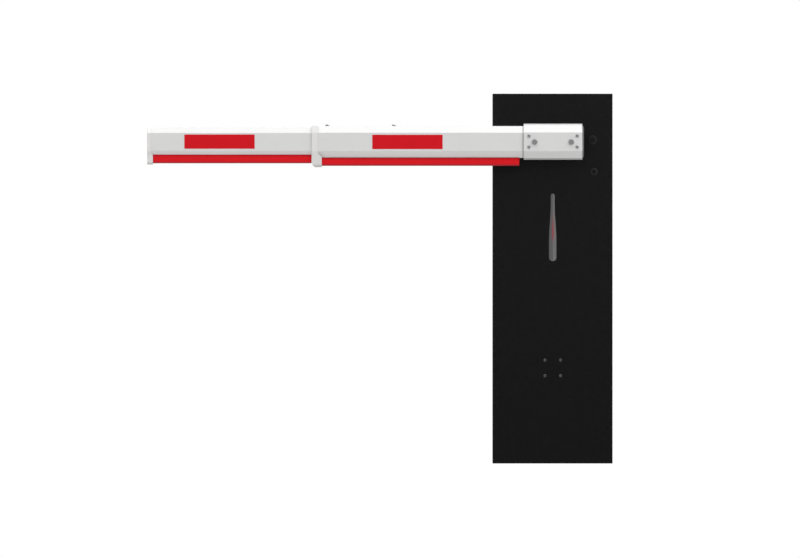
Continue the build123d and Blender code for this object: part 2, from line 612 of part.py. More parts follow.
# ------------------------------------------------------- gearhead and motor
def ring_gear():
    flange = box(-58, 58, DRIVE_PLATE_Y1, DRIVE_PLATE_Y1 + 10, GEAR_Z - 58, GEAR_Z + 58)
    flange = soften(flange, 12.0, Axis.Y)
    body = cyl_y(*GEAR, 29.9, DRIVE_PLATE_Y0, DRIVE_PLATE_Y1)
    flange = flange + body + cyl_y(*GEAR, 55.0, DRIVE_PLATE_Y1 + 10, -4)
    flange -= cyl_y(*GEAR, 10.06, -60, -30)
    flange -= cyl_y(*GEAR, 48.5, DRIVE_PLATE_Y1 + 12, GEAR_Y0 - 2)
    teeth = gear_outline(RING_TEETH, 0.8, 1.2, flank_points=3, internal=True)
    flange -= prism_y(teeth, GEAR_Y0 - 3, 0)
    return largest(drill_y(flange, GEAR_BOLTS, 3.35, -52, -38))


def planet_carrier():
    carrier = cyl_y(*GEAR, 38.0, DRIVE_PLATE_Y1 + 12.5, GEAR_Y0 - 2.5)
    carrier += cyl_y(*GEAR, 10.0, -103, DRIVE_PLATE_Y1 + 13)
    for place in PLANETS:
        carrier += cyl_y(*place, 4.0, GEAR_Y0 - 3, GEAR_Y1 + 0.5)
    return carrier - cyl_y(*GEAR, 3.3, -104, -85)


def planet_gear(x, z):
    # turned by half a tooth pitch to mesh with the sun and the ring
    outline = gear_outline(PLANET_TEETH, 0.85, 1.2, x, z, turn=180 / PLANET_TEETH)
    return prism_y(outline, GEAR_Y0, GEAR_Y1) - cyl_y(x, z, 4.05, -30, 0)


def sun_pinion():
    sun = prism_y(gear_outline(SUN_TEETH, 0.95, 1.25), GEAR_Y0, GEAR_Y1)
    return sun - cyl_y(*GEAR, 4.02, -30, 0)


def crank_arm():
    """Crank with its pressed pin, and the bolt that holds it on the carrier."""
    crank = cyl_y(*GEAR, 20.0, -104, -86)
    crank += Pos(0, 0, GEAR_Z) * Rot(0, -45, 0) * box(-ARM_R, 0, ROCKER_Y0, ROCKER_Y1, -14, 14)
    crank += cyl_y(*ROD_BOTTOM, 16.0, ROCKER_Y0, ROCKER_Y1)
    crank -= cyl_y(*GEAR, 10.02, -104.5, -80)
    for radius, y0, y1 in ((PIN_R, ROCKER_Y1, -69), (8.5, ROCKER_Y1, ROD_Y0 - 0.2),
                           (8.5, -72.5, -71)):
        crank += cyl_y(*ROD_BOTTOM, radius, y0, y1)
    bolt = hex_y(*GEAR, 13, -110.5, -106) + cyl_y(*GEAR, 15.0, -106, -104.05)
    bolt += cyl_y(*GEAR, 3.25, -104.05, -88)
    return Compound(children=[largest(crank), bolt])


def motor_can():
    can = cyl_y(*GEAR, 55.0, -4, 4) + cyl_y(*GEAR, 45.0, 4, 104)
    can -= cyl_y(*GEAR, 42.0, 4, 105) + cyl_y(*GEAR, 13.0, -5, 5)
    for k in range(24):                      # cooling ribs
        can += Pos(0, 0, GEAR_Z) * Rot(0, -15 * k, 0) * box(44.5, 47.5, 14, 98, -1.2, 1.2)
    can += cyl_y(*GEAR, 13.0, -2, 4) - cyl_y(*GEAR, 6.04, -5, 5)
    return largest(can)


def motor_end_bell():
    bell = cyl_y(*GEAR, 45.0, 104, 114) - cyl_y(*GEAR, 6.04, 100, 112)
    bell += cyl_y(*GEAR, 26.0, 114, 124)
    bell = soften(bell, 1.2, GeomType.CIRCLE,
                  lambda edge: edge.center().Y > 113.9 and edge.radius > 20)
    for k in range(4):
        a = math.radians(45 + 90 * k)
        bell += hex_y(37 * math.cos(a), GEAR_Z + 37 * math.sin(a), 8, 114, 118)
    return bell


def motor_stator():
    core = cyl_y(*GEAR, 41.9, STATOR_Y0, STATOR_Y1)
    core -= cyl_y(*GEAR, 35.5, STATOR_Y0 - 1, STATOR_Y1 + 1)
    coils = []
    for k in range(12):
        turned = Pos(0, 0, GEAR_Z) * Rot(0, -30 * k, 0)
        core += turned * box(27.2, 36, STATOR_Y0, STATOR_Y1, -4, 4)
        coil = box(28.5, 34.5, STATOR_Y0 - 7, STATOR_Y1 + 7, -6.4, 6.4)
        coil -= box(27, 36, STATOR_Y0 - 0.1, STATOR_Y1 + 0.1, -4.1, 4.1)
        coils.append(largest(turned * coil))
    return Compound(children=[largest(core)] + coils)


def motor_rotor():
    rotor = cyl_y(*GEAR, 26.6, STATOR_Y0, STATOR_Y1)
    rotor -= cyl_y(*GEAR, 6.02, STATOR_Y0 - 1, STATOR_Y1 + 1)
    shaft = cyl_y(*GEAR, 6.0, GEAR_Y1 + 1, 110) + cyl_y(*GEAR, 4.0, GEAR_Y0, GEAR_Y1 + 1)
    return Compound(children=[rotor, shaft])


# ---------------------------------------------------------------- electronics
def controller_case():
    case = box(-95, 95, CASE_Y + 1, CASE_Y + 61, 160, 368)
    case -= box(-92, 92, CASE_Y + 4, CASE_Y + 62, 163, 365)
    for place in PANEL_SCREWS:
        case += cyl_y(*place, 6.0, CASE_Y, CASE_Y + 12)
        case -= cyl_y(*place, 2.55, CASE_Y - 1, CASE_Y + 10.5)
    # hollow stubs through the case floor
    for x in (-60, -20, 20, 60):
        case += cyl_z(x, CASE_Y + 40, 9.0, 146, 160)
        case -= cyl_z(x, CASE_Y + 40, 5.0, 140, 164)
    # board posts
    for s in SIGNS:
        for z in (180, 348):
            case += cyl_y(s * 80, z, 5.0, CASE_Y + 3, BOARD_Y)
    return largest(case)


def controller_board():
    back = BOARD_BACK_Y
    board = box(-88, 88, BOARD_Y, back, 167, 361)
    board += box(-80, -20, back, CASE_Y + 52, 300, 352)       # transformer
    board += box(5, 80, back, CASE_Y + 40, 305, 350)          # heat sink block
    for k in range(7):
        board -= box(9 + 10 * k, 14 + 10 * k, CASE_Y + 28, CASE_Y + 41, 304, 351)
    for x in (-70, -48, -26):                                 # upright cylinders
        board += cyl_y(x, 270, 8.0, back, CASE_Y + 48)
    for x in (6, 32, 58):                                     # relays
        board += box(x, x + 18, back, CASE_Y + 39, 255, 285)
    for k in range(14):                                       # terminals
        x = -84 + 12 * k
        board += box(x, x + 11, back, CASE_Y + 36, 172, 192)
        board -= cyl_y(x + 5.5, 184, 2.5, CASE_Y + 32, CASE_Y + 37)
    return board + box(-30, 10, back, CASE_Y + 27, 212, 240)  # processor block


# ----------------------------------------------------------------- hub, clamp
def arm_hub():
    hub = box(-75, 75, -167, -155, PIVOT_Z - 42, PIVOT_Z + 42)
    hub = soften(hub, 12.0, Axis.Y)
    hub += cyl_y(*PIVOT, 29.0, -155, -141)
    hub -= cyl_y(*PIVOT, SHAFT_BORE_R, -170, -140) + cyl_y(*PIVOT, 19.0, -168, -158)
    hub -= key_slot(-157, -140, 10, 18.5)
    return drill_y(hub, CLAMP_BOLTS, 4.05, -170, -150)


def hub_bolt():
    bolt = cyl_y(*PIVOT, 18.0, -161, -158.02) + hex_y(*PIVOT, 17, -166.8, -161)
    return bolt + cyl_y(*PIVOT, 5.0, -158.02, -134)


def clamp_shell(points, corner_rounds):
    """Clamp half from (y, z) points, with its (corners, radius) rounds and the boom bore."""
    shell = prism_x(at_boom(points), CLAMP_X0, CLAMP_X1)
    for corners, radius in corner_rounds:
        spots = at_boom(corners)
        shell = soften(shell, radius, Axis.X, lambda edge: any(
            math.hypot(edge.center().Y - y, edge.center().Z - z) < 0.05 for y, z in spots))
    return shell - prism_x(outer_section(0.12), CLAMP_X0 - 1, CLAMP_X1 + 1)


def clamp_back():
    crown = (10, CLAMP_BACK_TOP)
    sides = [(CLAMP_HALF_Y, CLAMP_FLAT_UP), (CLAMP_HALF_Y, -CLAMP_FLAT_DOWN)]
    upper_lip, lower_lip = (0.2, CLAMP_BACK_TOP), (-10.8, -CLAMP_BACK_BOTTOM)
    back = clamp_shell(
        [upper_lip, crown, *sides, (10, -CLAMP_BACK_BOTTOM), lower_lip, (-10.8, 0), (0.2, 0)],
        [([crown], 8.0), (sides, 2.0), ([upper_lip, lower_lip], 0.9)])
    return largest(drill_y(back, CLAMP_BOLTS, 4.4, -200, -150))


def clamp_front():
    crown = (-10.5, CLAMP_FRONT_TOP)
    sides = [(-CLAMP_HALF_Y, CLAMP_FLAT_UP), (-CLAMP_HALF_Y, -CLAMP_FLAT_DOWN)]
    front = clamp_shell(
        [(-0.2, CLAMP_FRONT_TOP), crown, *sides, (-12, -CLAMP_FRONT_BOTTOM),
         (-11.2, -CLAMP_FRONT_BOTTOM), (-11.2, 0), (-0.2, 0)],
        [([crown], 4.0), (sides, 2.0)])
    front = drill_y(front, CLAMP_BOLTS, 4.4, -240, -195)
    return largest(drill_y(front, CLAMP_SCREWS, 2.7, -240, -215))


def clamp_bolts():
    face, washer = CLAMP_FACE_Y, 1.6
    bolts = []
    for x, z in CLAMP_BOLTS:
        crown = Pos(x, face - 4.25, z) * Rot(90, 0, 0) * Cone(8.1, 6.2, 5.3)
        head = hex_y(x, z, 13, face - 6.9, face - washer) & crown
        bolts.append(head + cyl_y(x, z, 8.5, face - washer, face) + cyl_y(x, z, 4.0, face, -156))
    return Compound(children=bolts)


def clamp_screws():
    return Compound(children=[button_screw(x, z, CLAMP_FACE_Y, 4.4, 13) for x, z in CLAMP_SCREWS])


def clamp_end_cap():
    faces = [Plane.YZ.offset(x) * make_face(Polyline(*clamp_section(grow), close=True))
             for x, grow in ((CLAMP_X1, 0.0), (CLAMP_X1 + 4.2, -9.0))]
    cap = loft(faces, ruled=True)
    return cap + prism_x(outer_section(-0.3), OUTER_X1 + 0.3, CLAMP_X1)


# ----------------------------------------------------------------------- boom
def boom_box(x0, x1, half_y, z0, z1):
    return box(x0, x1, BOOM_Y - half_y, BOOM_Y + half_y, z0, z1)


def tube(section, wall, x0, x1, bottom_z):
    """Octagonal tube with a T slot along its underside."""
    body = prism_x(section(), x0, x1) - prism_x(section(-wall), x0 - 1, x1 + 1)
    body += boom_box(x0, x1, TUBE_WEB_HALF, bottom_z + 0.5, bottom_z + 6.0)
    body -= boom_box(x0 - 1, x1 + 1, 3.0, bottom_z - 1, bottom_z + 2.1)
    body -= boom_box(x0 - 1, x1 + 1, 5.0, bottom_z + 2.0, bottom_z + 4.3)
    return body


def d_shape(x0, x1, radius, top, arc_z):
    """Bar with a flat top, upright sides and a half-round bottom."""
    left, right = BOOM_Y - radius, BOOM_Y + radius
    curve = Curve() + [
        Line((left, top), (right, top)),
        Line((right, top), (right, arc_z)),
        ThreePointArc((right, arc_z), (BOOM_Y, arc_z - radius), (left, arc_z)),
        Line((left, arc_z), (left, top)),
    ]
    return extrude(Plane.YZ.offset(x0) * make_face(curve), amount=x1 - x0)


def strip(tube_bottom, x0, x1, height):
    """Hollow soft edge with a T head for the tube slot."""
    radius, top = 10.0, tube_bottom - 0.05
    arc_z = tube_bottom - height + radius
    body = d_shape(x0, x1, radius, top, arc_z)
    body -= d_shape(x0 - 1, x1 + 1, radius - 2.4, top - 3.0, arc_z)
    body += boom_box(x0, x1, 2.8, top - 0.5, tube_bottom + 2.3)
    body += boom_box(x0, x1, 4.7, tube_bottom + 2.2, tube_bottom + 4.1)
    return body


def reflectors(half_y, x0, x1, z0, z1):
    """Thin plates on the front and rear faces of a tube."""
    front, rear = BOOM_Y - half_y, BOOM_Y + half_y
    return Compound(children=[box(x0, x1, front - 0.4, front, z0, z1),
                              box(x0, x1, rear, rear + 0.4, z0, z1)])


def inner_plug(x0, x1, gap_x0, gap_x1):
    """Plug that fits inside the inner tube, with a gap for its slot block."""
    plug = prism_x(inner_section(-INNER_WALL - 0.3), x0, x1)
    return plug - boom_box(gap_x0, gap_x1, WEB_CLEARANCE_HALF, INNER_BOTTOM_Z,
                           INNER_BOTTOM_Z + 6.3)


def boom_outer_tube():
    body = tube(outer_section, OUTER_WALL, OUTER_X0, OUTER_X1, OUTER_BOTTOM_Z)
    body = drill_y(body, CLAMP_BOLTS, 4.4, -240, -160)
    body = drill_y(body, CLAMP_SCREWS, 2.52, -240, -215)
    z0, z1 = OUTER_TOP_Z - 5, OUTER_TOP_Z + 5
    for x in TELESCOPE_X:
        body -= cyl_z(x, BOOM_Y, 2.6, z0, z1) + cyl_z(x + PIN_STEP, BOOM_Y, 1.72, z0, z1)
    return body


def boom_outer_strip():
    return strip(OUTER_BOTTOM_Z, -636.4, -92.4, 22.0)


def boom_outer_reflectors():
    return reflectors(OUTER_HALF_Y, -497.3, -303.6, 866.3, 905.6)


def telescope_screws():
    """Screws in the top of the outer tube, each with a small pin beside it."""
    top = OUTER_TOP_Z
    pieces = []
    for x in TELESCOPE_X:
        head = cyl_z(x, BOOM_Y, 3.4, top + 0.02, top + 4.8)
        head = soften(head, 1.2, GeomType.CIRCLE, lambda edge: edge.center().Z > top + 4.7)
        head -= hex_z(x, BOOM_Y, 2.6, top + 2.4, top + 6)
        shank = cyl_z(x, BOOM_Y, 2.5, PIVOT_Z + INNER_TOP + 0.15, top + 0.02)
        pin = cyl_z(x + PIN_STEP, BOOM_Y, 1.7, top - OUTER_WALL, top + 2.6)
        pin = soften(pin, 0.6, GeomType.CIRCLE, lambda edge: edge.center().Z > top + 2.5)
        pieces += [head + shank, pin]
    return Compound(children=pieces)


def boom_collar():
    """Flange at the -X end of the outer tube, with a foot that closes the soft edge."""
    half, foot = 26.7, COLLAR_FOOT_Z
    section = [(half - 7.0, OUTER_TOP + 0.4), (half, OUTER_FLAT_UP), (half, -OUTER_FLAT_DOWN),
               (12.4, foot - PIVOT_Z)]
    collar = prism_x(mirrored(section), COLLAR_X0, COLLAR_X1)
    collar = soften(collar, 7.0, Axis.X, lambda edge: abs(edge.center().Z - foot) < 0.01)
    # side view, (x, z)
    step = OUTER_X0 + 1.1
    side_view = [
        (COLLAR_X0, 940), (OUTER_X0, 940), (OUTER_X0, 861), (step, 855.5), (step + 2.4, 850.5),
        (-638.6, 846.6), (COLLAR_X1, 844.4), (COLLAR_X1, foot - 1), (-652.4, foot - 1),
        (-657.4, foot + 1.4), (-661.8, foot + 6.2), (COLLAR_X0, foot + 12.6),
    ]
    collar = largest(collar & prism_y(side_view, -240, -160))
    collar = fillet(collar.faces().sort_by(Axis.X)[0].edges(), 1.8)
    collar -= prism_x(outer_section(0.08), OUTER_X0, -600)
    collar -= prism_x(inner_section(0.45), COLLAR_X0 - 5, OUTER_X0 + 60)
    # tongues between the two tubes
    for s in SIGNS:
        y0, y1 = sorted((BOOM_Y + s * 20.5, BOOM_Y + s * 23.3))
        collar += box(OUTER_X0 - 8, OUTER_X0 + 30, y0, y1, PIVOT_Z - 20, PIVOT_Z + 19)
    return largest(collar)


def boom_inner_tube():
    return tube(inner_section, INNER_WALL, INNER_X0, INNER_X1, INNER_BOTTOM_Z)


def boom_inner_strip():
    return strip(INNER_BOTTOM_Z, -1101.3, COLLAR_X0 - 0.3, 23.8)


def boom_inner_reflectors():
    return reflectors(INNER_HALF_Y, -1014.7, -821.1, 867.3, 906.4)


def boom_tip_cap():
    foot, rim_x = TIP_FOOT_Z, INNER_X0 - 0.05
    cap = prism_x(inner_section(0.9), TIP_X0, TIP_X1)
    heel = boom_box(TIP_X0, TIP_X1, 12.6, foot, PIVOT_Z - 26)
    heel = soften(heel, 5.0, Axis.X, lambda edge: abs(edge.center().Z - foot) < 0.01)
    # side view, (x, z)
    side_view = [
        (TIP_X0, 940), (rim_x, 940), (rim_x, 863), (-1105.6, 857.6), (-1104.0, 853.4),
        (TIP_X1, 850.6), (TIP_X1, foot - 1), (TIP_X0, foot - 1),
    ]
    cap = largest((cap + heel) & prism_y(side_view, -240, -160))
    cap = fillet(cap.faces().sort_by(Axis.X)[0].edges(), 3.0)
    cap -= prism_x(inner_section(0.08), INNER_X0, -1000)
    cap += inner_plug(INNER_X0 - 3, INNER_X0 + 16, INNER_X0, INNER_X0 + 20)
    return largest(cap)


def boom_guide_shoe():
    section = octagon(OUTER_HALF_Y - OUTER_WALL - 0.5, OUTER_TOP - OUTER_WALL - 0.4, 37.4,
                      OUTER_FLAT_UP - 1.2, 24.0, 6.0, 9.5)
    shoe = prism_x(section, INNER_X1, INNER_X1 + 6)
    shoe += inner_plug(INNER_X1 - 14, INNER_X1 + 1, INNER_X1 - 20, INNER_X1)
    return largest(shoe)


# --------------------------------------------------------------------- export
# each piece is written under the name of its function
PIECES = [
    cabinet_shell, top_cover, base_frame, door_gasket, rear_door, door_lock_body, door_lock_cam,
    indicator_lens, indicator_board, front_panel_screws, blanking_plug, key_switch_body,
    key_switch_plug, shaft_seal, bearing_plate, drive_plate, plate_spacers, bearing_housings,
    flange_bolts, bearing_outer_races, bearing_inner_races, limit_buffers, spring_anchor_bolts,
    spring_hangers, balance_springs, main_shaft, shaft_keys, rocker_lever, rocker_pins,
    connecting_rod, ring_gear, planet_carrier, sun_pinion, crank_arm, motor_can, motor_end_bell,
    motor_stator, motor_rotor, controller_case, controller_board, arm_hub, hub_bolt, clamp_back,
    clamp_front, clamp_bolts, clamp_screws, clamp_end_cap, boom_outer_tube, boom_outer_strip,
    boom_outer_reflectors, telescope_screws, boom_collar, boom_inner_tube, boom_inner_strip,
    boom_inner_reflectors, boom_tip_cap, boom_guide_shoe,
]

os.makedirs("parts", exist_ok=True)
for piece in PIECES:
    export_step(piece(), f"parts/{piece.__name__}.step")
for k, (x, z) in enumerate(PLANETS):
    export_step(planet_gear(x, z), f"parts/planet_gear_{k + 1}.step")
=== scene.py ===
"""Barrier gate: a cabinet with its door, drive and controller, and a boom that swings above.

Metres, +Z up, floor at z = 0. The cable opening in the cabinet floor is centred on the
origin. The camera looks along +Y at the boom side; the door louvres are on the +Y side.
The main bearings turn about a Y axis at x = 0, z = 0.886.
"""
import json
import math
import random

import bmesh
import bpy
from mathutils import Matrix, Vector


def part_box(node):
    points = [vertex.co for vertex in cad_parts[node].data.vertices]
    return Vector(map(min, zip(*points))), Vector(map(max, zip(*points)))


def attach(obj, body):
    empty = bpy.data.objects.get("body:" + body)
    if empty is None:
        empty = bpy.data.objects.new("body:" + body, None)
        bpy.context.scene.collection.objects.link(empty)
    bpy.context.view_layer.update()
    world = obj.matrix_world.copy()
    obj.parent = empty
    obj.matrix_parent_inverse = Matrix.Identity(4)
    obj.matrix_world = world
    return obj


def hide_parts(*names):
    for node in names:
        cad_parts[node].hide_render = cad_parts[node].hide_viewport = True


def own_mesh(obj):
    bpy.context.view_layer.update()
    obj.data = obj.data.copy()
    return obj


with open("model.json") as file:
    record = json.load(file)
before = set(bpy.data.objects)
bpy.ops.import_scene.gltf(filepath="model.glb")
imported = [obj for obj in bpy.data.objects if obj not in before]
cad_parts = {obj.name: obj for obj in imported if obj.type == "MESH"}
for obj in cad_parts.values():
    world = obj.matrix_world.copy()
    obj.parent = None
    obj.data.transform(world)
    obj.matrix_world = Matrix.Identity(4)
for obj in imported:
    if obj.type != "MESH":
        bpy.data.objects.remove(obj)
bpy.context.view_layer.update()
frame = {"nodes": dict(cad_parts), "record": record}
NODES = frame["nodes"]
random.seed(7)

MM = 0.001

# driving places shared by several sections
SPRING_X = 0.0494975               # balance springs; the rod stands at -SPRING_X
SPRING_YS = (-0.116, -0.074)
SPRING_BOTTOM, SPRING_TOP = 0.4700, 0.7905
ROD_X, ROD_Y = -SPRING_X, -0.080
BEARING_Z = 0.886
STATOR_Z = 0.636
CASE_Y = -0.143                    # reference plane of the controller case
GLAND_Y = CASE_Y + 0.040
BOARD_Y = CASE_Y + 0.0236          # component side of the controller board


# ---------------------------------------------------------------------------
# node graph helper
# ---------------------------------------------------------------------------
class Graph:
    """A material or world node tree, with short calls for the nodes used below."""

    def __init__(self, name, world=False):
        self.block = (bpy.data.worlds if world else bpy.data.materials).new(name)
        self.block.use_nodes = True
        self.tree = self.block.node_tree
        self.tree.nodes.clear()
        kind = "ShaderNodeOutputWorld" if world else "ShaderNodeOutputMaterial"
        self.out = self.node(kind)
        self.coord = self.node("ShaderNodeTexCoord")
        self.obj = self.coord.outputs["Object"]

    def node(self, kind, **props):
        node = self.tree.nodes.new(kind)
        for key, value in props.items():
            setattr(node, key, value)
        return node

    def put(self, socket, value):
        """Link a socket, or set a value; three-part colours get alpha 1."""
        if isinstance(value, bpy.types.NodeSocket):
            self.tree.links.new(value, socket)
            return
        if socket.type == "RGBA":
            value = (*value, 1.0)
        socket.default_value = value

    def stretch(self, x=1.0, y=1.0, z=1.0):
        node = self.node("ShaderNodeMapping")
        self.put(node.inputs["Vector"], self.obj)
        node.inputs["Scale"].default_value = (x, y, z)
        return node.outputs["Vector"]

    def noise(self, scale, detail=3.0, rough=0.5, vec=None, distort=0.0):
        node = self.node("ShaderNodeTexNoise")
        self.put(node.inputs["Vector"], vec or self.obj)
        node.inputs["Scale"].default_value = scale
        node.inputs["Detail"].default_value = detail
        node.inputs["Roughness"].default_value = rough
        node.inputs["Distortion"].default_value = distort
        return node.outputs["Fac"]

    def voronoi(self, scale, vec=None, feature="F1", rand=1.0):
        node = self.node("ShaderNodeTexVoronoi", feature=feature)
        self.put(node.inputs["Vector"], vec or self.obj)
        node.inputs["Scale"].default_value = scale
        node.inputs["Randomness"].default_value = rand
        return node.outputs["Distance"]

    def wave(self, scale, direction, distort=0.0):
        node = self.node("ShaderNodeTexWave", wave_type="BANDS", bands_direction=direction)
        self.put(node.inputs["Vector"], self.obj)
        node.inputs["Scale"].default_value = scale
        node.inputs["Distortion"].default_value = distort
        return node.outputs["Fac"]

    def math(self, operation, a, b=0.0):
        node = self.node("ShaderNodeMath", operation=operation)
        self.put(node.inputs[0], a)
        self.put(node.inputs[1], b)
        return node.outputs[0]

    def add(self, a, b):
        return self.math("ADD", a, b)

    def sub(self, a, b):
        return self.math("SUBTRACT", a, b)

    def mul(self, a, b):
        return self.math("MULTIPLY", a, b)

    def radius(self, a, b):
        return self.math("SQRT", self.add(self.mul(a, a), self.mul(b, b)))

    def remap(self, value, over=(0.3, 0.7), to=(0.0, 1.0), smooth=False):
        """Map one range to another; the default input range suits a noise."""
        node = self.node("ShaderNodeMapRange")
        if smooth:
            node.interpolation_type = "SMOOTHSTEP"
        self.put(node.inputs["Value"], value)
        for key, limit in zip(("From Min", "From Max", "To Min", "To Max"), (*over, *to)):
            node.inputs[key].default_value = limit
        return node.outputs["Result"]

    def mix(self, fac, a, b):
        node = self.node("ShaderNodeMix", data_type="RGBA", blend_type="MIX")
        self.put(node.inputs[0], fac)
        self.put(node.inputs[6], a)
        self.put(node.inputs[7], b)
        return node.outputs[2]

    def scale(self, colour, amount):
        node = self.node("ShaderNodeVectorMath", operation="SCALE")
        self.put(node.inputs[0], colour)
        self.put(node.inputs["Scale"], amount)
        return node.outputs[0]

    def axis(self, which, vec=None):
        node = self.node("ShaderNodeSeparateXYZ")
        self.put(node.inputs[0], vec or self.obj)
        return node.outputs[which]

    def bump(self, height, distance, strength, edge=None):
        """Bump, laid over edges rounded to the given radius if there is one."""
        node = self.node("ShaderNodeBump")
        node.inputs["Strength"].default_value = strength
        node.inputs["Distance"].default_value = distance
        self.put(node.inputs["Height"], height)
        if edge is not None:
            bevel = self.node("ShaderNodeBevel", samples=4)
            bevel.inputs["Radius"].default_value = edge
            self.put(node.inputs["Normal"], bevel.outputs["Normal"])
        return node.outputs["Normal"]

    def mix_shader(self, fac, a, b):
        node = self.node("ShaderNodeMixShader")
        for socket, value in zip(node.inputs, (fac, a, b)):
            self.put(socket, value)
        return node.outputs[0]

    def surface(self, **inputs):
        node = self.node("ShaderNodeBsdfPrincipled")
        for key, value in inputs.items():
            self.put(node.inputs[key.replace("_", " ")], value)
        self.put(self.out.inputs[0], node.outputs[0])
        return self.block


# ---------------------------------------------------------------------------
# material families: grain and noise scales are per metre, depth and edge in metres,
# vary is the swing in brightness either side of the colour
# ---------------------------------------------------------------------------
def powder(name, colour, grain, vary, rough, spec, depth, edge, dust=0.0,
           painted_shade_by_height=None, painted_sheen_by_height=(1.0, 1.0)):
    """Powder coat: speckled grain, unevenness over large areas, optional painted shade and sheen
    that fade from z 0 to 1.
    """
    g = Graph(name)
    fine = g.noise(grain, detail=2.0, rough=0.6)
    speck = g.remap(fine, to=(1 - vary, 1 + vary))
    tone = g.mul(speck, g.remap(g.noise(6.0), to=(0.97, 1.03)))
    level = spec
    # painted shade and sheen: colour and specular level scale with height, standing in for light
    # falling brighter on the upper part
    if painted_shade_by_height:
        tone = g.mul(tone, g.remap(g.axis(2), over=(0.0, 1.0), to=painted_shade_by_height))
        spec_range = [spec * factor for factor in painted_sheen_by_height]
        level = g.remap(g.axis(2), over=(0.0, 1.0), to=spec_range)
    col = g.scale(colour, tone)
    if dust:
        patches = g.noise(38.0, detail=6.0, rough=0.65)
        col = g.mix(g.remap(patches, over=(0.56, 0.74), to=(0.0, dust)), col, (0.32, 0.31, 0.29))
    height = g.add(g.mul(fine, 0.7), g.mul(g.noise(grain * 2.3, detail=1.0), 0.3))
    return g.surface(
        Base_Color=col, Roughness=g.remap(fine, to=(rough - 0.06, rough + 0.06)),
        Specular_IOR_Level=level, Normal=g.bump(height, depth, strength=0.8, edge=edge))


def satin_white(name, colour, grain, rough, edge, streak=False, painted_shade=None):
    """Satin white paint: faint orange peel, optional extrusion lines along X, smudges.

    A shading function, if given, takes the graph and the colour and lays painted shade over the
    paint.
    """
    g = Graph(name)
    peel = g.noise(grain, detail=2.0)
    height = peel
    cloud = g.noise(9.0, detail=4.0, rough=0.55)
    tone = g.remap(cloud, to=(0.985, 1.015))
    if streak:
        lines = g.noise(1.0, rough=0.6, vec=g.stretch(0.6, 520.0, 520.0))
        height = g.add(g.mul(peel, 0.5), g.mul(lines, 0.9))
        tone = g.mul(tone, g.remap(lines, to=(0.988, 1.01)))
    handling = g.noise(22.0, detail=6.0, rough=0.7, distort=0.6)
    smudge = g.remap(handling, over=(0.60, 0.80), to=(0.0, 0.16))
    col = g.mix(smudge, g.scale(colour, tone), (0.50, 0.49, 0.46))
    # painted shade laid over the paint colour
    if painted_shade:
        col = painted_shade(g, col)
    return g.surface(
        Base_Color=col, Roughness=g.remap(cloud, to=(rough - 0.05, rough + 0.06)),
        Specular_IOR_Level=0.35, Normal=g.bump(height, 0.00004, strength=0.7, edge=edge))


def joint_painted_shade(g, col):
    """Painted shade where two pieces meet, at one X place: a dark band standing in for the shadow
    beside the clamp's edge.
    """
    joint_x, half_width, soft, amount = -0.0812, 0.0016, 0.0022, 0.42
    away = g.math("ABSOLUTE", g.sub(g.axis(0), joint_x))
    near = g.remap(away, over=(half_width, half_width + soft), to=(amount, 0.0), smooth=True)
    return g.mix(near, col, (0.10, 0.098, 0.092))


def lip_painted_shade(g, col):
    """Painted shade on the low recessed ledge at the -Y side."""
    top_z, edge_y, amount = 0.8416, -0.2092, 0.50
    low = g.mul(g.math("LESS_THAN", g.axis(2), top_z), g.math("LESS_THAN", g.axis(1), edge_y))
    return g.mix(g.mul(low, amount), col, (0.16, 0.158, 0.150))


def foot_painted_shade(bottom, reach, amount):
    """Painted shade on the underside of a moulded end, where it turns down from the light, fading
    out at reach above its bottom.
    """
    def painted_shade(g, col):
        fade = g.remap(g.axis(2), over=(bottom + 0.0028, bottom + reach), to=(amount, 0.0),
                       smooth=True)
        return g.mix(fade, col, (0.12, 0.118, 0.112))
    return painted_shade


def metal(name, colour, rough, vary, wear, grain=None, lines=None, edge=0.0004, depth=0.00003):
    """Bare or plated metal: even grain or machining lines, mottling and dark staining."""
    g = Graph(name)
    if lines:
        fine = g.noise(1.0, rough=0.6, vec=g.stretch(*lines))
    else:
        fine = g.noise(grain, rough=0.6)
    mottle = g.noise(55.0, detail=5.0, rough=0.6)
    tone = g.mul(g.remap(mottle, to=(1 - vary, 1 + vary)), g.remap(fine, to=(0.95, 1.05)))
    stain = g.noise(70.0, detail=7.0, rough=0.7, distort=0.4)
    col = g.mix(g.remap(stain, over=(0.52, 0.72), to=(0.0, wear)), g.scale(colour, tone),
                (0.05, 0.035, 0.02))
    return g.surface(
        Base_Color=col, Metallic=1.0, Roughness=g.remap(mottle, to=(rough - 0.07, rough + 0.1)),
        Normal=g.bump(fine, depth, strength=0.6, edge=edge))


def plastic(name, colour, rough, grain, spec):
    g = Graph(name)
    fine = g.noise(grain, detail=2.0)
    mottle = g.noise(30.0, detail=4.0)
    return g.surface(
        Base_Color=g.scale(colour, g.remap(mottle, to=(0.94, 1.06))),
        Roughness=g.remap(fine, to=(rough - 0.05, rough + 0.06)), Specular_IOR_Level=spec,
        Normal=g.bump(fine, 0.00003, strength=0.6, edge=0.0004))


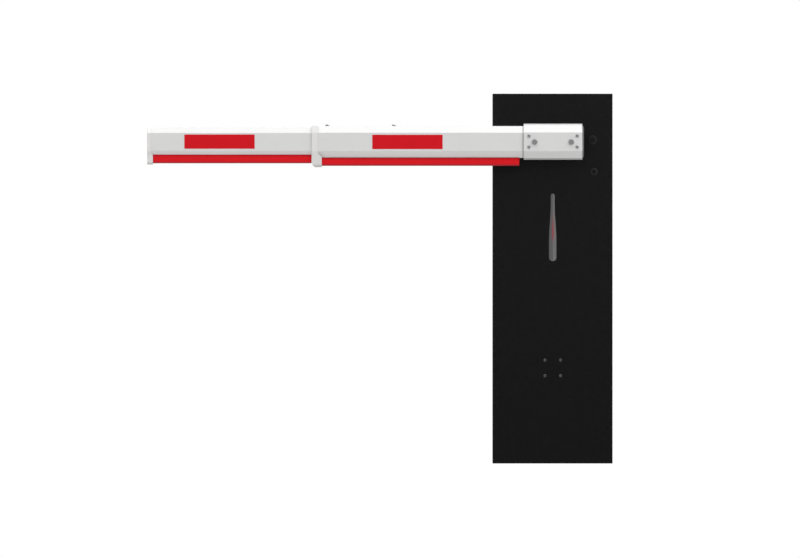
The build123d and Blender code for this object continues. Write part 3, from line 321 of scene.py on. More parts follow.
def rubber(name, colour, rough, spec, stripes=True, painted_edge_shade=None):
    """Soft extrusion: fine lines along X, darker in patches.

    The optional (bottom, top) heights bound the strip; both long edges get painted shade, for the
    shadow under the boom at the top and the rounded underside at the bottom.
    """
    g = Graph(name)
    fine = g.noise(1400.0, detail=2.0)
    lines = fine
    if stripes:
        lines = g.noise(1.0, detail=2.0, vec=g.stretch(1.2, 900.0, 900.0))
    mottle = g.noise(14.0, detail=5.0, rough=0.6)
    tone = g.mul(g.remap(mottle, to=(0.95, 1.04)), g.remap(lines, to=(0.96, 1.03)))
    col = g.scale(colour, tone)
    # painted shade along both long edges
    if painted_edge_shade:
        bottom, top = painted_edge_shade
        z = g.axis(2)
        upper = g.remap(z, over=(top - 0.0075, top - 0.0005), to=(0.0, 0.34), smooth=True)
        col = g.mix(upper, col, (0.20, 0.004, 0.008))
        lower = g.remap(z, over=(bottom + 0.0003, bottom + 0.0060), to=(0.64, 0.0), smooth=True)
        col = g.mix(lower, col, (0.12, 0.046, 0.055))
    height = g.add(g.mul(fine, 0.5), lines)
    return g.surface(
        Base_Color=col, Roughness=g.remap(mottle, to=(rough - 0.05, rough + 0.06)),
        Specular_IOR_Level=spec, Normal=g.bump(height, 0.00005, strength=0.6, edge=0.0006))


# ---------------------------------------------------------------------------
# single materials
# ---------------------------------------------------------------------------
def cast_iron():
    g = Graph("looks_cast_iron")
    lump = g.noise(260.0, detail=4.0, rough=0.65)
    height = g.add(lump, g.mul(g.voronoi(600.0), 0.3))
    return g.surface(
        Base_Color=g.scale((0.16, 0.165, 0.17), g.remap(lump, to=(0.75, 1.2))),
        Metallic=0.75, Roughness=g.remap(lump, to=(0.5, 0.72)),
        Normal=g.bump(height, 0.0002, strength=0.8, edge=0.0012))


def reflective():
    """Retroreflective film: fine honeycomb cells in the XZ plane under a clear top layer."""
    g = Graph("looks_red_reflective")
    flat = g.stretch(y=0.0)
    cell = g.voronoi(330.0, vec=flat, feature="DISTANCE_TO_EDGE", rand=0.08)
    wall = g.remap(cell, over=(0.02, 0.09), smooth=True)
    glint = g.noise(900.0, detail=2.0)
    cloud = g.noise(25.0)
    tone = g.mul(g.remap(glint, to=(0.94, 1.06)), g.remap(cloud, to=(0.97, 1.03)))
    film = g.scale((0.675, 0.0108, 0.0182), tone)
    return g.surface(
        Base_Color=g.mix(wall, (0.60, 0.013, 0.020), film),
        Roughness=g.remap(wall, over=(0.0, 1.0), to=(0.45, 0.33)),
        Specular_IOR_Level=0.05, Coat_Weight=0.03, Coat_Roughness=0.2,
        Normal=g.bump(wall, 0.00005, strength=0.5))


def smoked_lens():
    """Smoked window: painted light on the +X half and painted shade on the -X half, with a faint
    red streak.
    """
    g = Graph("looks_smoked_lens")
    x, z = g.axis(0), g.axis(2)
    # painted light: the +X half lighter, the -X half darker
    side = g.remap(x, over=(-0.0020, 0.0030), smooth=True)
    rim = g.remap(g.math("ABSOLUTE", x), over=(0.0060, 0.0105), to=(1.0, 0.88), smooth=True)
    shade = g.mix(side, (0.112, 0.112, 0.113), (0.161, 0.161, 0.162))
    fine = g.noise(900.0, detail=2.0)
    smoke = g.scale(shade, g.mul(rim, g.remap(fine, to=(0.94, 1.06))))
    streak_x = 0.0009
    off_centre = g.math("ABSOLUTE", g.sub(x, streak_x))
    streak = g.remap(off_centre, over=(0.0012, 0.0052), to=(1.0, 0.0), smooth=True)
    rise = g.remap(z, over=(0.604, 0.634), smooth=True)
    fall = g.remap(z, over=(0.634, 0.700), to=(1.0, 0.0), smooth=True)
    red = g.mul(streak, g.mul(rise, fall))
    height = g.add(g.mul(g.wave(160.0, "Z"), 0.6), fine)
    return g.surface(
        Base_Color=g.mix(g.mul(red, 0.72), smoke, (0.34, 0.040, 0.055)),
        Roughness=g.remap(fine, to=(0.30, 0.40)), Specular_IOR_Level=0.35,
        Coat_Weight=0.15, Coat_Roughness=0.2,
        Normal=g.bump(height, 0.00005, strength=0.4, edge=0.0008))


# taller board parts coloured by place: name, x range, z range, colour
BOARD_PARTS = (
    ("transformer", (-0.081, -0.019), (0.299, 0.353), (0.09, 0.075, 0.06)),
    ("silver block", (0.004, 0.081), (0.304, 0.351), (0.46, 0.47, 0.48)),
    ("capacitors", (-0.079, -0.017), (0.261, 0.279), (0.02, 0.03, 0.075)),
    ("relays", (0.005, 0.077), (0.254, 0.286), (0.017, 0.017, 0.018)),
    ("terminals", (-0.0845, 0.0845), (0.1715, 0.1925), (0.02, 0.17, 0.10)),
    ("processor", (-0.031, 0.011), (0.211, 0.241), (0.017, 0.017, 0.018)),
)


def circuit_board():
    """Green mask with tracks and pads; the taller parts take their own colours by place."""
    g = Graph("looks_circuit_board")
    x, y, z = g.axis(0), g.axis(1), g.axis(2)
    flat = g.stretch(y=0.0)
    track = g.voronoi(120.0, vec=flat, feature="DISTANCE_TO_EDGE", rand=0.9)
    line = g.remap(track, over=(0.02, 0.05), to=(1.0, 0.0))
    pads = g.remap(g.voronoi(300.0, vec=flat, rand=0.35), over=(0.08, 0.13), to=(1.0, 0.0))
    col = g.mix(line, (0.008, 0.085, 0.03), (0.02, 0.19, 0.07))
    col = g.mix(g.mul(pads, 0.8), col, (0.55, 0.5, 0.38))

    def band(value, low, high):
        return g.mul(g.math("GREATER_THAN", value, low), g.math("LESS_THAN", value, high))

    above = g.math("GREATER_THAN", y, -0.1191)
    for part, x_range, z_range, colour in BOARD_PARTS:
        here = g.mul(above, g.mul(band(x, *x_range), band(z, *z_range)))
        col = g.mix(here, col, colour)
        if part == "silver block":
            metalness = g.mul(here, 0.9)
    low_row = g.mul(band(z, 0.160, 0.1800), above)
    col = g.mix(g.mul(low_row, 0.35), col, (0.004, 0.03, 0.02))
    grain = g.noise(1500.0, detail=2.0)
    return g.surface(
        Base_Color=g.scale(col, g.remap(grain, to=(0.92, 1.07))), Metallic=metalness,
        Roughness=g.remap(grain, to=(0.32, 0.44)), Specular_IOR_Level=0.5,
        Normal=g.bump(g.add(line, pads), 0.00003, strength=0.5, edge=0.0004))


def winding():
    """Stator: laminated core, with copper coils inside the core radius at both ends."""
    g = Graph("looks_winding")
    y = g.axis(1)
    radius = g.radius(g.axis(0), g.sub(g.axis(2), STATOR_Z))
    laminations = g.wave(900.0, "Y")
    strands = g.wave(420.0, "DIAGONAL", distort=2.0)
    low_end = g.remap(y, over=(0.0195, 0.0198), to=(1.0, 0.0))
    high_end = g.remap(y, over=(0.0862, 0.0866))
    is_end = g.math("MAXIMUM", low_end, high_end)
    is_coil = g.mul(is_end, g.remap(radius, over=(0.0365, 0.037), to=(1.0, 0.0)))
    steel = g.mix(laminations, (0.16, 0.16, 0.17), (0.32, 0.32, 0.33))
    copper = g.mix(strands, (0.30, 0.09, 0.03), (0.75, 0.33, 0.14))
    return g.surface(Base_Color=g.mix(is_coil, steel, copper), Metallic=0.9, Roughness=0.38,
                     Normal=g.bump(strands, 0.0001, strength=0.5))


def bolt_heads(name, head, washer, split_y):
    """Dull stainless fastener: a darker head and a brighter washer beyond the Y plane."""
    g = Graph(name)
    fine = g.noise(1600.0, rough=0.6)
    mottle = g.noise(240.0, detail=4.0, rough=0.6)
    zone = g.remap(g.axis(1), over=(split_y - 0.0002, split_y + 0.0002))
    tone = g.mul(g.remap(mottle, to=(0.90, 1.08)), g.remap(fine, to=(0.95, 1.05)))
    return g.surface(
        Base_Color=g.scale(g.mix(zone, head, washer), tone), Metallic=0.8,
        Roughness=g.remap(mottle, to=(0.34, 0.48)),
        Normal=g.bump(fine, 0.00003, strength=0.6, edge=0.0005))


def plug(name, centred_on, ring_radius, base, rim_highlight, one_sided):
    """Black moulded plug: the rim is painted lighter than the middle as a highlight, more so on the
    +X side.

    base and the rim highlight are grey levels; one_sided (0 to 1) weakens the painted highlight on
    the -X side.
    """
    low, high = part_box(centred_on)
    g = Graph(name)
    x = g.sub(g.axis(0), (low[0] + high[0]) / 2)
    z = g.sub(g.axis(2), (low[2] + high[2]) / 2)
    from_ring = g.math("ABSOLUTE", g.sub(g.radius(x, z), ring_radius))
    # painted highlight: a lighter band at ring_radius, stronger on the +X side
    rim = g.remap(from_ring, over=(0.0012, 0.0036), to=(1.0, 0.0), smooth=True)
    side = g.remap(x, over=(-ring_radius, ring_radius), to=(1.0 - one_sided * 0.75, 1.0),
                   smooth=True)
    fine = g.noise(1600.0, detail=2.0)
    col = g.mix(g.mul(rim, side), (base, base, base), (rim_highlight, rim_highlight, rim_highlight * 1.02))
    return g.surface(
        Base_Color=g.scale(col, g.remap(fine, to=(0.9, 1.1))),
        Roughness=g.remap(fine, to=(0.42, 0.54)), Specular_IOR_Level=0.12,
        Normal=g.bump(fine, 0.00003, strength=0.5, edge=0.0004))


# settings shared by a general material and its variants for single parts
WHITE = (0.729, 0.729, 0.724)
TUBE_PAINT = dict(colour=WHITE, grain=900.0, rough=0.42, edge=0.0009, streak=True)
CASTING_PAINT = dict(colour=WHITE, grain=520.0, rough=0.45, edge=0.0012)
WHITE_MOULDING = dict(colour=(0.782, 0.774, 0.766), grain=1500.0, rough=0.40, edge=0.0007)
RED_STRIP = dict(colour=(0.765, 0.0143, 0.0212), rough=0.7, spec=0.05)

MATS = {
    "black_powder_coat": powder(
        "looks_black_powder_coat", (0.0016, 0.0016, 0.00165), grain=300.0, vary=0.62, rough=0.34,
        spec=0.243, depth=0.00016, edge=0.0009,
        # painted shade and sheen: darker and duller at the bottom, lighter and glossier at the top
        painted_shade_by_height=(0.75, 1.25), painted_sheen_by_height=(0.90, 1.11)),
    "white_powder_coat": satin_white("looks_white_powder_coat", **TUBE_PAINT),
    "white_casting": satin_white("looks_white_casting", **CASTING_PAINT),
    "white_plastic": satin_white("looks_white_plastic", **WHITE_MOULDING),
    "red_rubber": rubber("looks_red_rubber", **RED_STRIP),
    "red_reflective": reflective(),
    "smoked_lens": smoked_lens(),
    "zinc_steel": metal(
        "looks_zinc", (0.60, 0.61, 0.63), rough=0.34, grain=700.0, vary=0.14, wear=0.05),
    "black_oxide_steel": powder(
        "looks_black_oxide", (0.012, 0.012, 0.013), grain=900.0, vary=0.15, rough=0.38,
        spec=0.5, depth=0.00003, edge=0.0003),
    "dark_stainless": metal(
        "looks_stainless", (0.40, 0.40, 0.41), rough=0.38, grain=1200.0, vary=0.10, wear=0.10,
        edge=0.0005),
    "chassis_steel": powder(
        "looks_chassis", (0.27, 0.28, 0.29), grain=520.0, vary=0.10, rough=0.5,
        spec=0.4, depth=0.0001, edge=0.0008, dust=0.08),
    "ground_steel": metal(
        "looks_ground_steel", (0.56, 0.56, 0.57), rough=0.26, lines=(900.0, 3.0, 900.0),
        vary=0.08, wear=0.06),
    "bearing_steel": metal(
        "looks_bearing", (0.72, 0.72, 0.74), rough=0.12, grain=2400.0, vary=0.05, wear=0.03,
        edge=0.0003, depth=0.00001),
    "spring_steel": metal(
        "looks_spring", (0.16, 0.16, 0.175), rough=0.36, grain=1500.0, vary=0.15, wear=0.25,
        edge=0.0003),
    "cast_aluminium": metal(
        "looks_cast_aluminium", (0.55, 0.56, 0.57), rough=0.44, grain=480.0, vary=0.08,
        wear=0.03, edge=0.0009, depth=0.00014),
    "cast_iron": cast_iron(),
    "black_plastic": plastic(
        "looks_black_plastic", (0.010, 0.010, 0.0105), rough=0.42, grain=1500.0, spec=0.5),
    "black_rubber": rubber(
        "looks_black_rubber", (0.012, 0.012, 0.012), rough=0.6, spec=0.25, stripes=False),
    "grey_plastic": plastic(
        "looks_grey_case", (0.40, 0.41, 0.42), rough=0.48, grain=1300.0, spec=0.4),
    "circuit_board": circuit_board(),
    "copper_winding": winding(),
    "dark_grey_plastic": plastic(
        "looks_dark_grey_plastic", (0.150, 0.150, 0.153), rough=0.5, grain=1500.0, spec=0.35),
    "lock_metal": metal(
        "looks_lock_metal", (0.50, 0.50, 0.52), rough=0.30, grain=1500.0, vary=0.08, wear=0.04),
}

SLOT_OF = {part["node"]: part["material_slot"] for part in frame["record"]["subparts"]}
for part, ob in NODES.items():
    ob.data.materials.clear()
    ob.data.materials.append(MATS[SLOT_OF[part]])


# ---------------------------------------------------------------------------
# parts with a material of their own
# ---------------------------------------------------------------------------
def repaint(part, material):
    NODES[part].data.materials[0] = material


repaint("top_cover", powder(
    "looks_top_cover", (0.0052, 0.0052, 0.0053), grain=300.0, vary=0.55, rough=0.62,
    spec=0.07, depth=0.00018, edge=0.0009))
# plugs and key switch parts with painted highlights on their rims
repaint("blanking_plug", plug(
    "looks_blanking_plug", "blanking_plug", ring_radius=0.0105, base=0.0085, rim_highlight=0.022,
    one_sided=0.9))
repaint("key_switch_body", plug(
    "looks_key_switch", "key_switch_plug", ring_radius=0.0082, base=0.0060, rim_highlight=0.025,
    one_sided=0.35))
repaint("key_switch_plug", plug(
    "looks_key_plug", "key_switch_plug", ring_radius=0.0050, base=0.0050, rim_highlight=0.0110,
    one_sided=0.3))
# red strips with painted shade along their top and bottom edges
for part, top in (("boom_outer_strip", 0.8422), ("boom_inner_strip", 0.8510)):
    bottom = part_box(part)[0][2]
    repaint(part, rubber("looks_red_" + part, painted_edge_shade=(bottom, top), **RED_STRIP))
# the outer tube gets painted shade beside the clamp's left edge
repaint("boom_outer_tube", satin_white("looks_outer_tube", painted_shade=joint_painted_shade, **TUBE_PAINT))
# the back shell gets painted shade on its low ledge below the front shell
repaint("clamp_back", satin_white("looks_clamp_back", painted_shade=lip_painted_shade, **CASTING_PAINT))
# collar and tip cap get painted shade along their bottom edges
for part, reach, amount in (("boom_collar", 0.0092, 0.36), ("boom_tip_cap", 0.0098, 0.30)):
    foot_shade = foot_painted_shade(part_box(part)[0][2], reach, amount)
    repaint(part, satin_white("looks_white_" + part, painted_shade=foot_shade, **WHITE_MOULDING))
repaint("front_panel_screws", metal(
    "looks_panel_screws", (0.122, 0.122, 0.125), rough=0.40, grain=1200.0, vary=0.10,
    wear=0.10, edge=0.0005))
HEAD_HEIGHT = 0.0053               # from the bolts' -Y face to the washer
repaint("clamp_bolts", bolt_heads(
    "looks_clamp_bolts", head=(0.37, 0.37, 0.375), washer=(0.90, 0.90, 0.90),
    split_y=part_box("clamp_bolts")[0][1] + HEAD_HEIGHT))


# ---------------------------------------------------------------------------
# mesh helpers
# ---------------------------------------------------------------------------
def link(ob):
    bpy.context.scene.collection.objects.link(ob)
    return ob


def finish_object(name, mesh, mat, body, sharp_angle):
    """Shade a mesh, wrap it in an object and let it ride on a body."""
    mesh.polygons.foreach_set("use_smooth", [True] * len(mesh.polygons))
    mesh.set_sharp_from_angle(angle=math.radians(sharp_angle))
    ob = link(bpy.data.objects.new(name, mesh))
    mesh.materials.append(mat)
    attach(ob, body)
    return ob


def mesh_object(name, verts, faces, mat, body):
    mesh = bpy.data.meshes.new(name)
    mesh.from_pydata([tuple(v) for v in verts], [], faces)
    mesh.update()
    return finish_object(name, mesh, mat, body, sharp_angle=40)


def ring_faces(rings, sides, base=0, closed=False):
    """Quads between successive rings of vertices, back to the first ring if closed."""
    faces = []
    for i in range(rings if closed else rings - 1):
        here = base + i * sides
        there = base + (i + 1) % rings * sides
        for k in range(sides):
            after = (k + 1) % sides
            faces.append((here + k, here + after, there + after, there + k))
    return faces


def axis_point(axis, c, s, h):
    """A point h along the axis letter, at c and s across it."""
    return Vector({"X": (h, c, s), "Y": (c, h, -s), "Z": (c, s, h)}[axis])


def sweep(points, radii, sides):
    """Round section along a list of points, with flat ends; returns verts and faces."""
    pts = [Vector(p) for p in points]
    last = len(pts) - 1
    tangents = [(pts[min(i + 1, last)] - pts[max(i - 1, 0)]).normalized()
                for i in range(last + 1)]
    ref = Vector((0, 0, 1)) if abs(tangents[0].z) < 0.9 else Vector((1, 0, 0))
    across = tangents[0].cross(ref).normalized()
    verts = []
    for point, tangent, radius in zip(pts, tangents, radii):
        across = (across - tangent * across.dot(tangent)).normalized()
        other = tangent.cross(across)
        for k in range(sides):
            a = 2 * math.pi * k / sides
            verts.append(point + across * (radius * math.cos(a)) + other * (radius * math.sin(a)))
    faces = ring_faces(last + 1, sides)
    faces.append(tuple(range(sides - 1, -1, -1)))
    faces.append(tuple(last * sides + k for k in range(sides)))
    return verts, faces


def smooth_path(ctrl, step=0.004):
    """Catmull-Rom curve through control points."""
    p = [Vector(c) for c in ctrl]
    p = [p[0] * 2 - p[1]] + p + [p[-1] * 2 - p[-2]]
    out = []
    for i in range(1, len(p) - 2):
        p0, p1, p2, p3 = p[i - 1:i + 3]
        count = max(2, int((p2 - p1).length / step))
        for s in range(count):
            t = s / count
            out.append(0.5 * ((2 * p1) + (p2 - p0) * t
                              + (2 * p0 - 5 * p1 + 4 * p2 - p3) * t * t
                              + (3 * p1 - p0 - 3 * p2 + p3) * t ** 3))
    out.append(p[-2])
    return out


def turned(name, profile, axis, origins, mat, body, sides):
    """A (radius, distance along axis) profile revolved at each origin, as one mesh."""
    verts, faces = [], []
    for origin in origins:
        faces += ring_faces(len(profile), sides, base=len(verts))
        for r, h in profile:
            for k in range(sides):
                a = 2 * math.pi * k / sides
                point = axis_point(axis, r * math.cos(a), r * math.sin(a), h)
                verts.append(Vector(origin) + point)
    return mesh_object(name, verts, faces, mat, body)


def thread(name, x, y, radius, z0, z1, body):
    """A V-shaped ridge wound on an upright bolt."""
    pitch, depth, sides = 0.0015, 0.00045, 20
    section = ((radius - 0.0001, -pitch * 0.42), (radius + depth, 0.0),
               (radius - 0.0001, pitch * 0.42))
    steps = int((z1 - z0) / pitch * sides)
    verts = []
    for i in range(steps + 1):
        a = 2 * math.pi * i / sides
        h = z0 + (z1 - z0) * i / steps
        for r, rise in section:
            verts.append((x + r * math.cos(a), y + r * math.sin(a), h + rise))
    faces = ring_faces(steps + 1, len(section))
    return mesh_object(name, verts, faces, MATS["zinc_steel"], body)


def boxes(name, items, radius, mat, body, segments=2):
    """Several small rounded blocks in one mesh; items are (x0, x1, y0, y1, z0, z1)."""
    whole = bmesh.new()
    for x0, x1, y0, y1, z0, z1 in items:
        bm = bmesh.new()
        bmesh.ops.create_cube(bm, size=1.0)
        for v in bm.verts:
            v.co = Vector(((x0 + x1) / 2 + v.co.x * (x1 - x0),
                           (y0 + y1) / 2 + v.co.y * (y1 - y0),
                           (z0 + z1) / 2 + v.co.z * (z1 - z0)))
        offset = min(radius, 0.4 * min(x1 - x0, y1 - y0, z1 - z0))
        bmesh.ops.bevel(bm, geom=bm.edges[:], offset=offset, segments=segments, profile=0.5,
                        affect="EDGES")
        block = bpy.data.meshes.new("tmp")
        bm.to_mesh(block)
        bm.free()
        whole.from_mesh(block)
        bpy.data.meshes.remove(block)
    mesh = bpy.data.meshes.new(name)
    bmesh.ops.recalc_face_normals(whole, faces=whole.faces[:])
    whole.to_mesh(mesh)
    whole.free()
    return finish_object(name, mesh, mat, body, sharp_angle=35)


def bead(name, start, end, radius, mat, body):
    """A weld bead: overlapping ripples from start to end, four stations to a ripple."""
    ripple = 0.0022
    start, end = Vector(start), Vector(end)
    n = max(4, int((end - start).length / (ripple / 4)))
    pts = [start + (end - start) * (i / n) for i in range(n + 1)]
    radii = [radius * (0.86 + 0.16 * abs(math.sin(i * math.pi / 4)) + random.uniform(-0.03, 0.03))
             for i in range(n + 1)]
    radii[0] = radii[-1] = radius * 0.5
    return mesh_object(name, *sweep(pts, radii, sides=10), mat, body)


# ---------------------------------------------------------------------------
# balance springs and threads
# ---------------------------------------------------------------------------
def spring_path(y):
    """Helix centre line with closed end coils."""
    turns, closed, steps_per_turn = 30.0, 1.15, 26
    wire, coil_radius = 0.0050, 0.0115
    rise = SPRING_TOP - SPRING_BOTTOM - wire
    n = int(turns * steps_per_turn)
    pts = []
    for k in range(n + 1):
        t = k / n * turns
        if t < closed:
            h = t * wire
        elif t > turns - closed:
            h = rise - (turns - t) * wire
        else:
            open_part = (t - closed) / (turns - 2 * closed)
            h = closed * wire + open_part * (rise - 2 * closed * wire)
        a = 2 * math.pi * t
        pts.append((SPRING_X + coil_radius * math.cos(a), y + coil_radius * math.sin(a),
                    SPRING_BOTTOM + wire / 2 + h))
    return pts, wire / 2


for i, y in enumerate(SPRING_YS):
    pts, radius = spring_path(y)
    verts, faces = sweep(pts, [radius] * len(pts), sides=12)
    spring = mesh_object(f"balance_spring_{i + 1}", verts, faces, MATS["spring_steel"], "cabinet")
    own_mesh(spring)
    if i == 0:
        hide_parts("balance_springs")
    thread(f"anchor_thread_{i + 1}", SPRING_X, y, 0.0050, 0.404, 0.420, "cabinet")
    thread(f"hanger_thread_{i + 1}", SPRING_X, y, 0.0050, 0.803, 0.850, "hangers")

thread("rod_thread_lower", ROD_X, ROD_Y, 0.0055, 0.5995, 0.6255, "rod")
thread("rod_thread_upper", ROD_X, ROD_Y, 0.0055, 0.7975, 0.8235, "rod")


# ---------------------------------------------------------------------------
# cables
# ---------------------------------------------------------------------------
CABLE_COLOURS = {
    "grey": (0.30, 0.31, 0.32), "black": (0.012, 0.012, 0.012), "brown": (0.13, 0.045, 0.02),
    "blue": (0.02, 0.07, 0.32), "green": (0.03, 0.25, 0.05), "red": (0.42, 0.015, 0.012),
    "white": (0.6, 0.6, 0.58), "yellow": (0.5, 0.38, 0.03), "violet": (0.14, 0.03, 0.22),
}


def cable(name, ctrl, radius, colour):
    key = "cable_" + colour
    if key not in MATS:
        MATS[key] = plastic("looks_" + key, CABLE_COLOURS[colour], rough=0.45, grain=900.0,
                            spec=0.4)
    path = smooth_path(ctrl)
    verts, faces = sweep(path, [radius] * len(path), sides=12)
    return mesh_object(name, verts, faces, MATS[key], "cabinet")


# control points (x, y, z)
MAINS_PATH = [
    (-0.020, -0.020, 0.001), (-0.024, -0.030, 0.05), (-0.030, -0.075, 0.10),
    (-0.020, GLAND_Y, 0.128), (-0.020, GLAND_Y, 0.150)]
LOOP_PATH = [
    (0.012, -0.028, 0.001), (0.016, -0.034, 0.05), (0.024, -0.078, 0.10),
    (0.020, GLAND_Y, 0.128), (0.020, GLAND_Y, 0.150)]
MOTOR_PATH = [
    (-0.060, GLAND_Y, 0.150), (-0.060, GLAND_Y, 0.125), (-0.080, -0.085, 0.105),
    (-0.115, -0.050, 0.16), (-0.138, 0.02, 0.30), (-0.128, 0.078, 0.44),
    (-0.078, 0.086, 0.545), (-0.058, 0.0700, 0.590), (-0.058, 0.0700, 0.604)]
LAMP_PATH = [
    (0.060, GLAND_Y, 0.150), (0.060, GLAND_Y, 0.125), (0.090, -0.088, 0.105),
    (0.128, -0.105, 0.16), (0.132, -0.125, 0.36), (0.105, -0.132, 0.48),
    (0.030, -0.122, 0.536), (0.010, -0.126, 0.552)]
KEY_PATH = [
    (0.120, -0.098, 0.788), (0.126, -0.094, 0.740), (0.140, -0.112, 0.62),
    (0.138, -0.128, 0.45), (0.134, -0.122, 0.30), (0.128, -0.108, 0.175),
    (0.094, -0.092, 0.112), (0.064, -0.100, 0.126)]
MOTOR_CABLE_RADIUS, LAMP_CABLE_RADIUS = 0.0042, 0.0026

cable("mains_cable", MAINS_PATH, 0.0045, "black")
cable("loop_cable", LOOP_PATH, 0.0035, "grey")
cable("motor_cable", MOTOR_PATH, MOTOR_CABLE_RADIUS, "black")
cable("lamp_cable", LAMP_PATH, LAMP_CABLE_RADIUS, "grey")
cable("key_cable", KEY_PATH, 0.0022, "black")

# cable glands under the controller case
GLAND_PROFILE = [
    (0.0025, 0.0), (0.0060, 0.0), (0.0075, 0.0015), (0.0088, 0.004), (0.0090, 0.011),
    (0.0098, 0.0115), (0.0098, 0.015), (0.0060, 0.0152)]
for i, x in enumerate((-0.060, -0.020, 0.020, 0.060)):
    turned(f"gland_{i + 1}", GLAND_PROFILE, "Z", [(x, GLAND_Y, 0.131)], MATS["black_plastic"],
           "cabinet", sides=12)

# ---------------------------------------------------------------------------
# controller board parts
# ---------------------------------------------------------------------------
BRASS = metal(
    "looks_brass", (0.78, 0.56, 0.24), rough=0.28, grain=1400.0, vary=0.10, wear=0.08,
    edge=0.0003)
TIN = metal(
    "looks_tin", (0.70, 0.70, 0.71), rough=0.25, grain=1800.0, vary=0.08, wear=0.05, edge=0.0002)
COMPONENT_BLACK = plastic(
    "looks_component_black", (0.018, 0.018, 0.019), rough=0.42, grain=2400.0, spec=0.45)
CREAM = plastic(
    "looks_component_cream", (0.62, 0.58, 0.46), rough=0.5, grain=2400.0, spec=0.35)
TAPE = plastic("looks_winding_tape", (0.62, 0.42, 0.06), rough=0.38, grain=1200.0, spec=0.45)
LED_GREEN = plastic("looks_led_green", (0.05, 0.55, 0.10), rough=0.2, grain=1800.0, spec=0.6)
LED_RED = plastic("looks_led_red", (0.65, 0.02, 0.02), rough=0.2, grain=1800.0, spec=0.6)
RELAY_BLUE = plastic("looks_relay_blue", (0.015, 0.07, 0.26), rough=0.35, grain=2000.0, spec=0.5)
WELD = metal(
    "looks_weld", (0.30, 0.29, 0.28), rough=0.42, grain=900.0, vary=0.22, wear=0.35, edge=0.0006)

# terminal screws, with a slot across each
TERMINAL_XS = [-0.0785 + 0.012 * k for k in range(14)]
SCREW_PROFILE = [
    (0.0, 0.0348), (0.0006, 0.0348), (0.0017, 0.0347), (0.0021, 0.0343), (0.0023, 0.0338),
    (0.0023, 0.0318), (0.0, 0.0318)]
turned("terminal_screws", SCREW_PROFILE, "Y", [(x, CASE_Y, 0.184) for x in TERMINAL_XS], TIN,
       "cabinet", sides=16)
boxes("terminal_screw_slots",
      [(x - 0.0019, x + 0.0019, CASE_Y + 0.0345, CASE_Y + 0.0350, 0.1837, 0.1843)
       for x in TERMINAL_XS],
      0.0001, COMPONENT_BLACK, "cabinet", segments=1)

# wires from the terminals to the glands: terminal number, x at the gland, colour
WIRES = (
    (0, -0.0625, "brown"), (1, -0.0600, "blue"), (2, -0.0575, "green"),
    (4, -0.0225, "brown"), (5, -0.0200, "blue"), (6, -0.0175, "green"),
    (8, 0.0185, "red"), (9, 0.0215, "white"),
    (11, 0.0580, "yellow"), (12, 0.0600, "violet"), (13, 0.0620, "white"),
)
for i, (terminal, gland_x, colour) in enumerate(WIRES):
    x = TERMINAL_XS[terminal]
    path = [(x, CASE_Y + 0.029, 0.1735), (x, CASE_Y + 0.030, 0.1700),
            ((x + gland_x) / 2, CASE_Y + 0.037, 0.1675 - 0.0006 * (i % 3)),
            (gland_x, GLAND_Y, 0.1650), (gland_x, GLAND_Y, 0.1560)]
    cable(f"wire_{i + 1}_{colour}", path, 0.0009, colour)


def processor_legs():
    """16 legs on the low and high edges, 10 on each side."""
    width, top = 0.0009, BOARD_Y + 0.0012
    legs = []
    for k in range(16):
        x = -0.0285 + 0.0024 * k
        for z_range in ((0.2090, 0.2121), (0.2399, 0.2430)):
            legs.append((x, x + width, BOARD_Y, top, *z_range))
    for k in range(10):
        z = 0.2140 + 0.0025 * k
        for x_range in ((-0.0330, -0.0299), (0.0099, 0.0130)):
            legs.append((*x_range, BOARD_Y, top, z, z + width))
    boxes("processor_legs", legs, 0.0002, TIN, "cabinet", segments=1)


def scatter_chips():
    """Chip centres (x, z) in mm, clear of the big parts and of each other."""
    centres = []
    for _ in range(46):
        for _ in range(40):
            x, z = random.uniform(-80, 80), random.uniform(196, 300)
            on_processor = -36 < x < 16 and 205 < z < 247
            on_tall_parts = z > 250 and (-80 < x < -16 or 3 < x < 79)
            crowded = any(abs(x - a) < 4.2 and abs(z - b) < 3.0 for a, b in centres)
            if not (on_processor or on_tall_parts or crowded):
                centres.append((x, z))
                break
    return centres


def surface_parts():
    """Small chips with a solder end on each side; every third one is large."""
    chips, ends = [], []
    for i, (x, z) in enumerate(scatter_chips()):
        # half width, half height and thickness in mm
        w, h, t = (1.6, 0.9, 0.7) if i % 3 else (2.6, 1.5, 1.3)
        chips.append(((x - w) * MM, (x + w) * MM, BOARD_Y, BOARD_Y + t * MM,
                      (z - h) * MM, (z + h) * MM))
        for x0, x1 in ((x - w - 0.35, x - w + 0.25), (x + w - 0.25, x + w + 0.35)):
            ends.append((x0 * MM, x1 * MM, BOARD_Y, BOARD_Y + (t + 0.05) * MM,
                         (z - h - 0.05) * MM, (z + h + 0.05) * MM))
    boxes("board_resistors", chips[::2], 0.0002, COMPONENT_BLACK, "cabinet", segments=1)
    boxes("board_capacitors", chips[1::2], 0.0002, CREAM, "cabinet", segments=1)
    boxes("board_solder_ends", ends, 0.0001, TIN, "cabinet", segments=1)


processor_legs()
surface_parts()

# light-emitting diodes in a row
LED_PROFILE = [
    (0.0, 0.0052), (0.0007, 0.0051), (0.0012, 0.0047), (0.0015, 0.0040), (0.0015, 0.0010),
    (0.0019, 0.0008), (0.0019, 0.0)]
for name, xs, mat in (("board_leds_green", (0.024, 0.032, 0.040), LED_GREEN),
                      ("board_leds_red", (0.048, 0.056), LED_RED)):
    turned(name, LED_PROFILE, "Y", [(x, BOARD_Y, 0.2480) for x in xs], mat, "cabinet", sides=16)

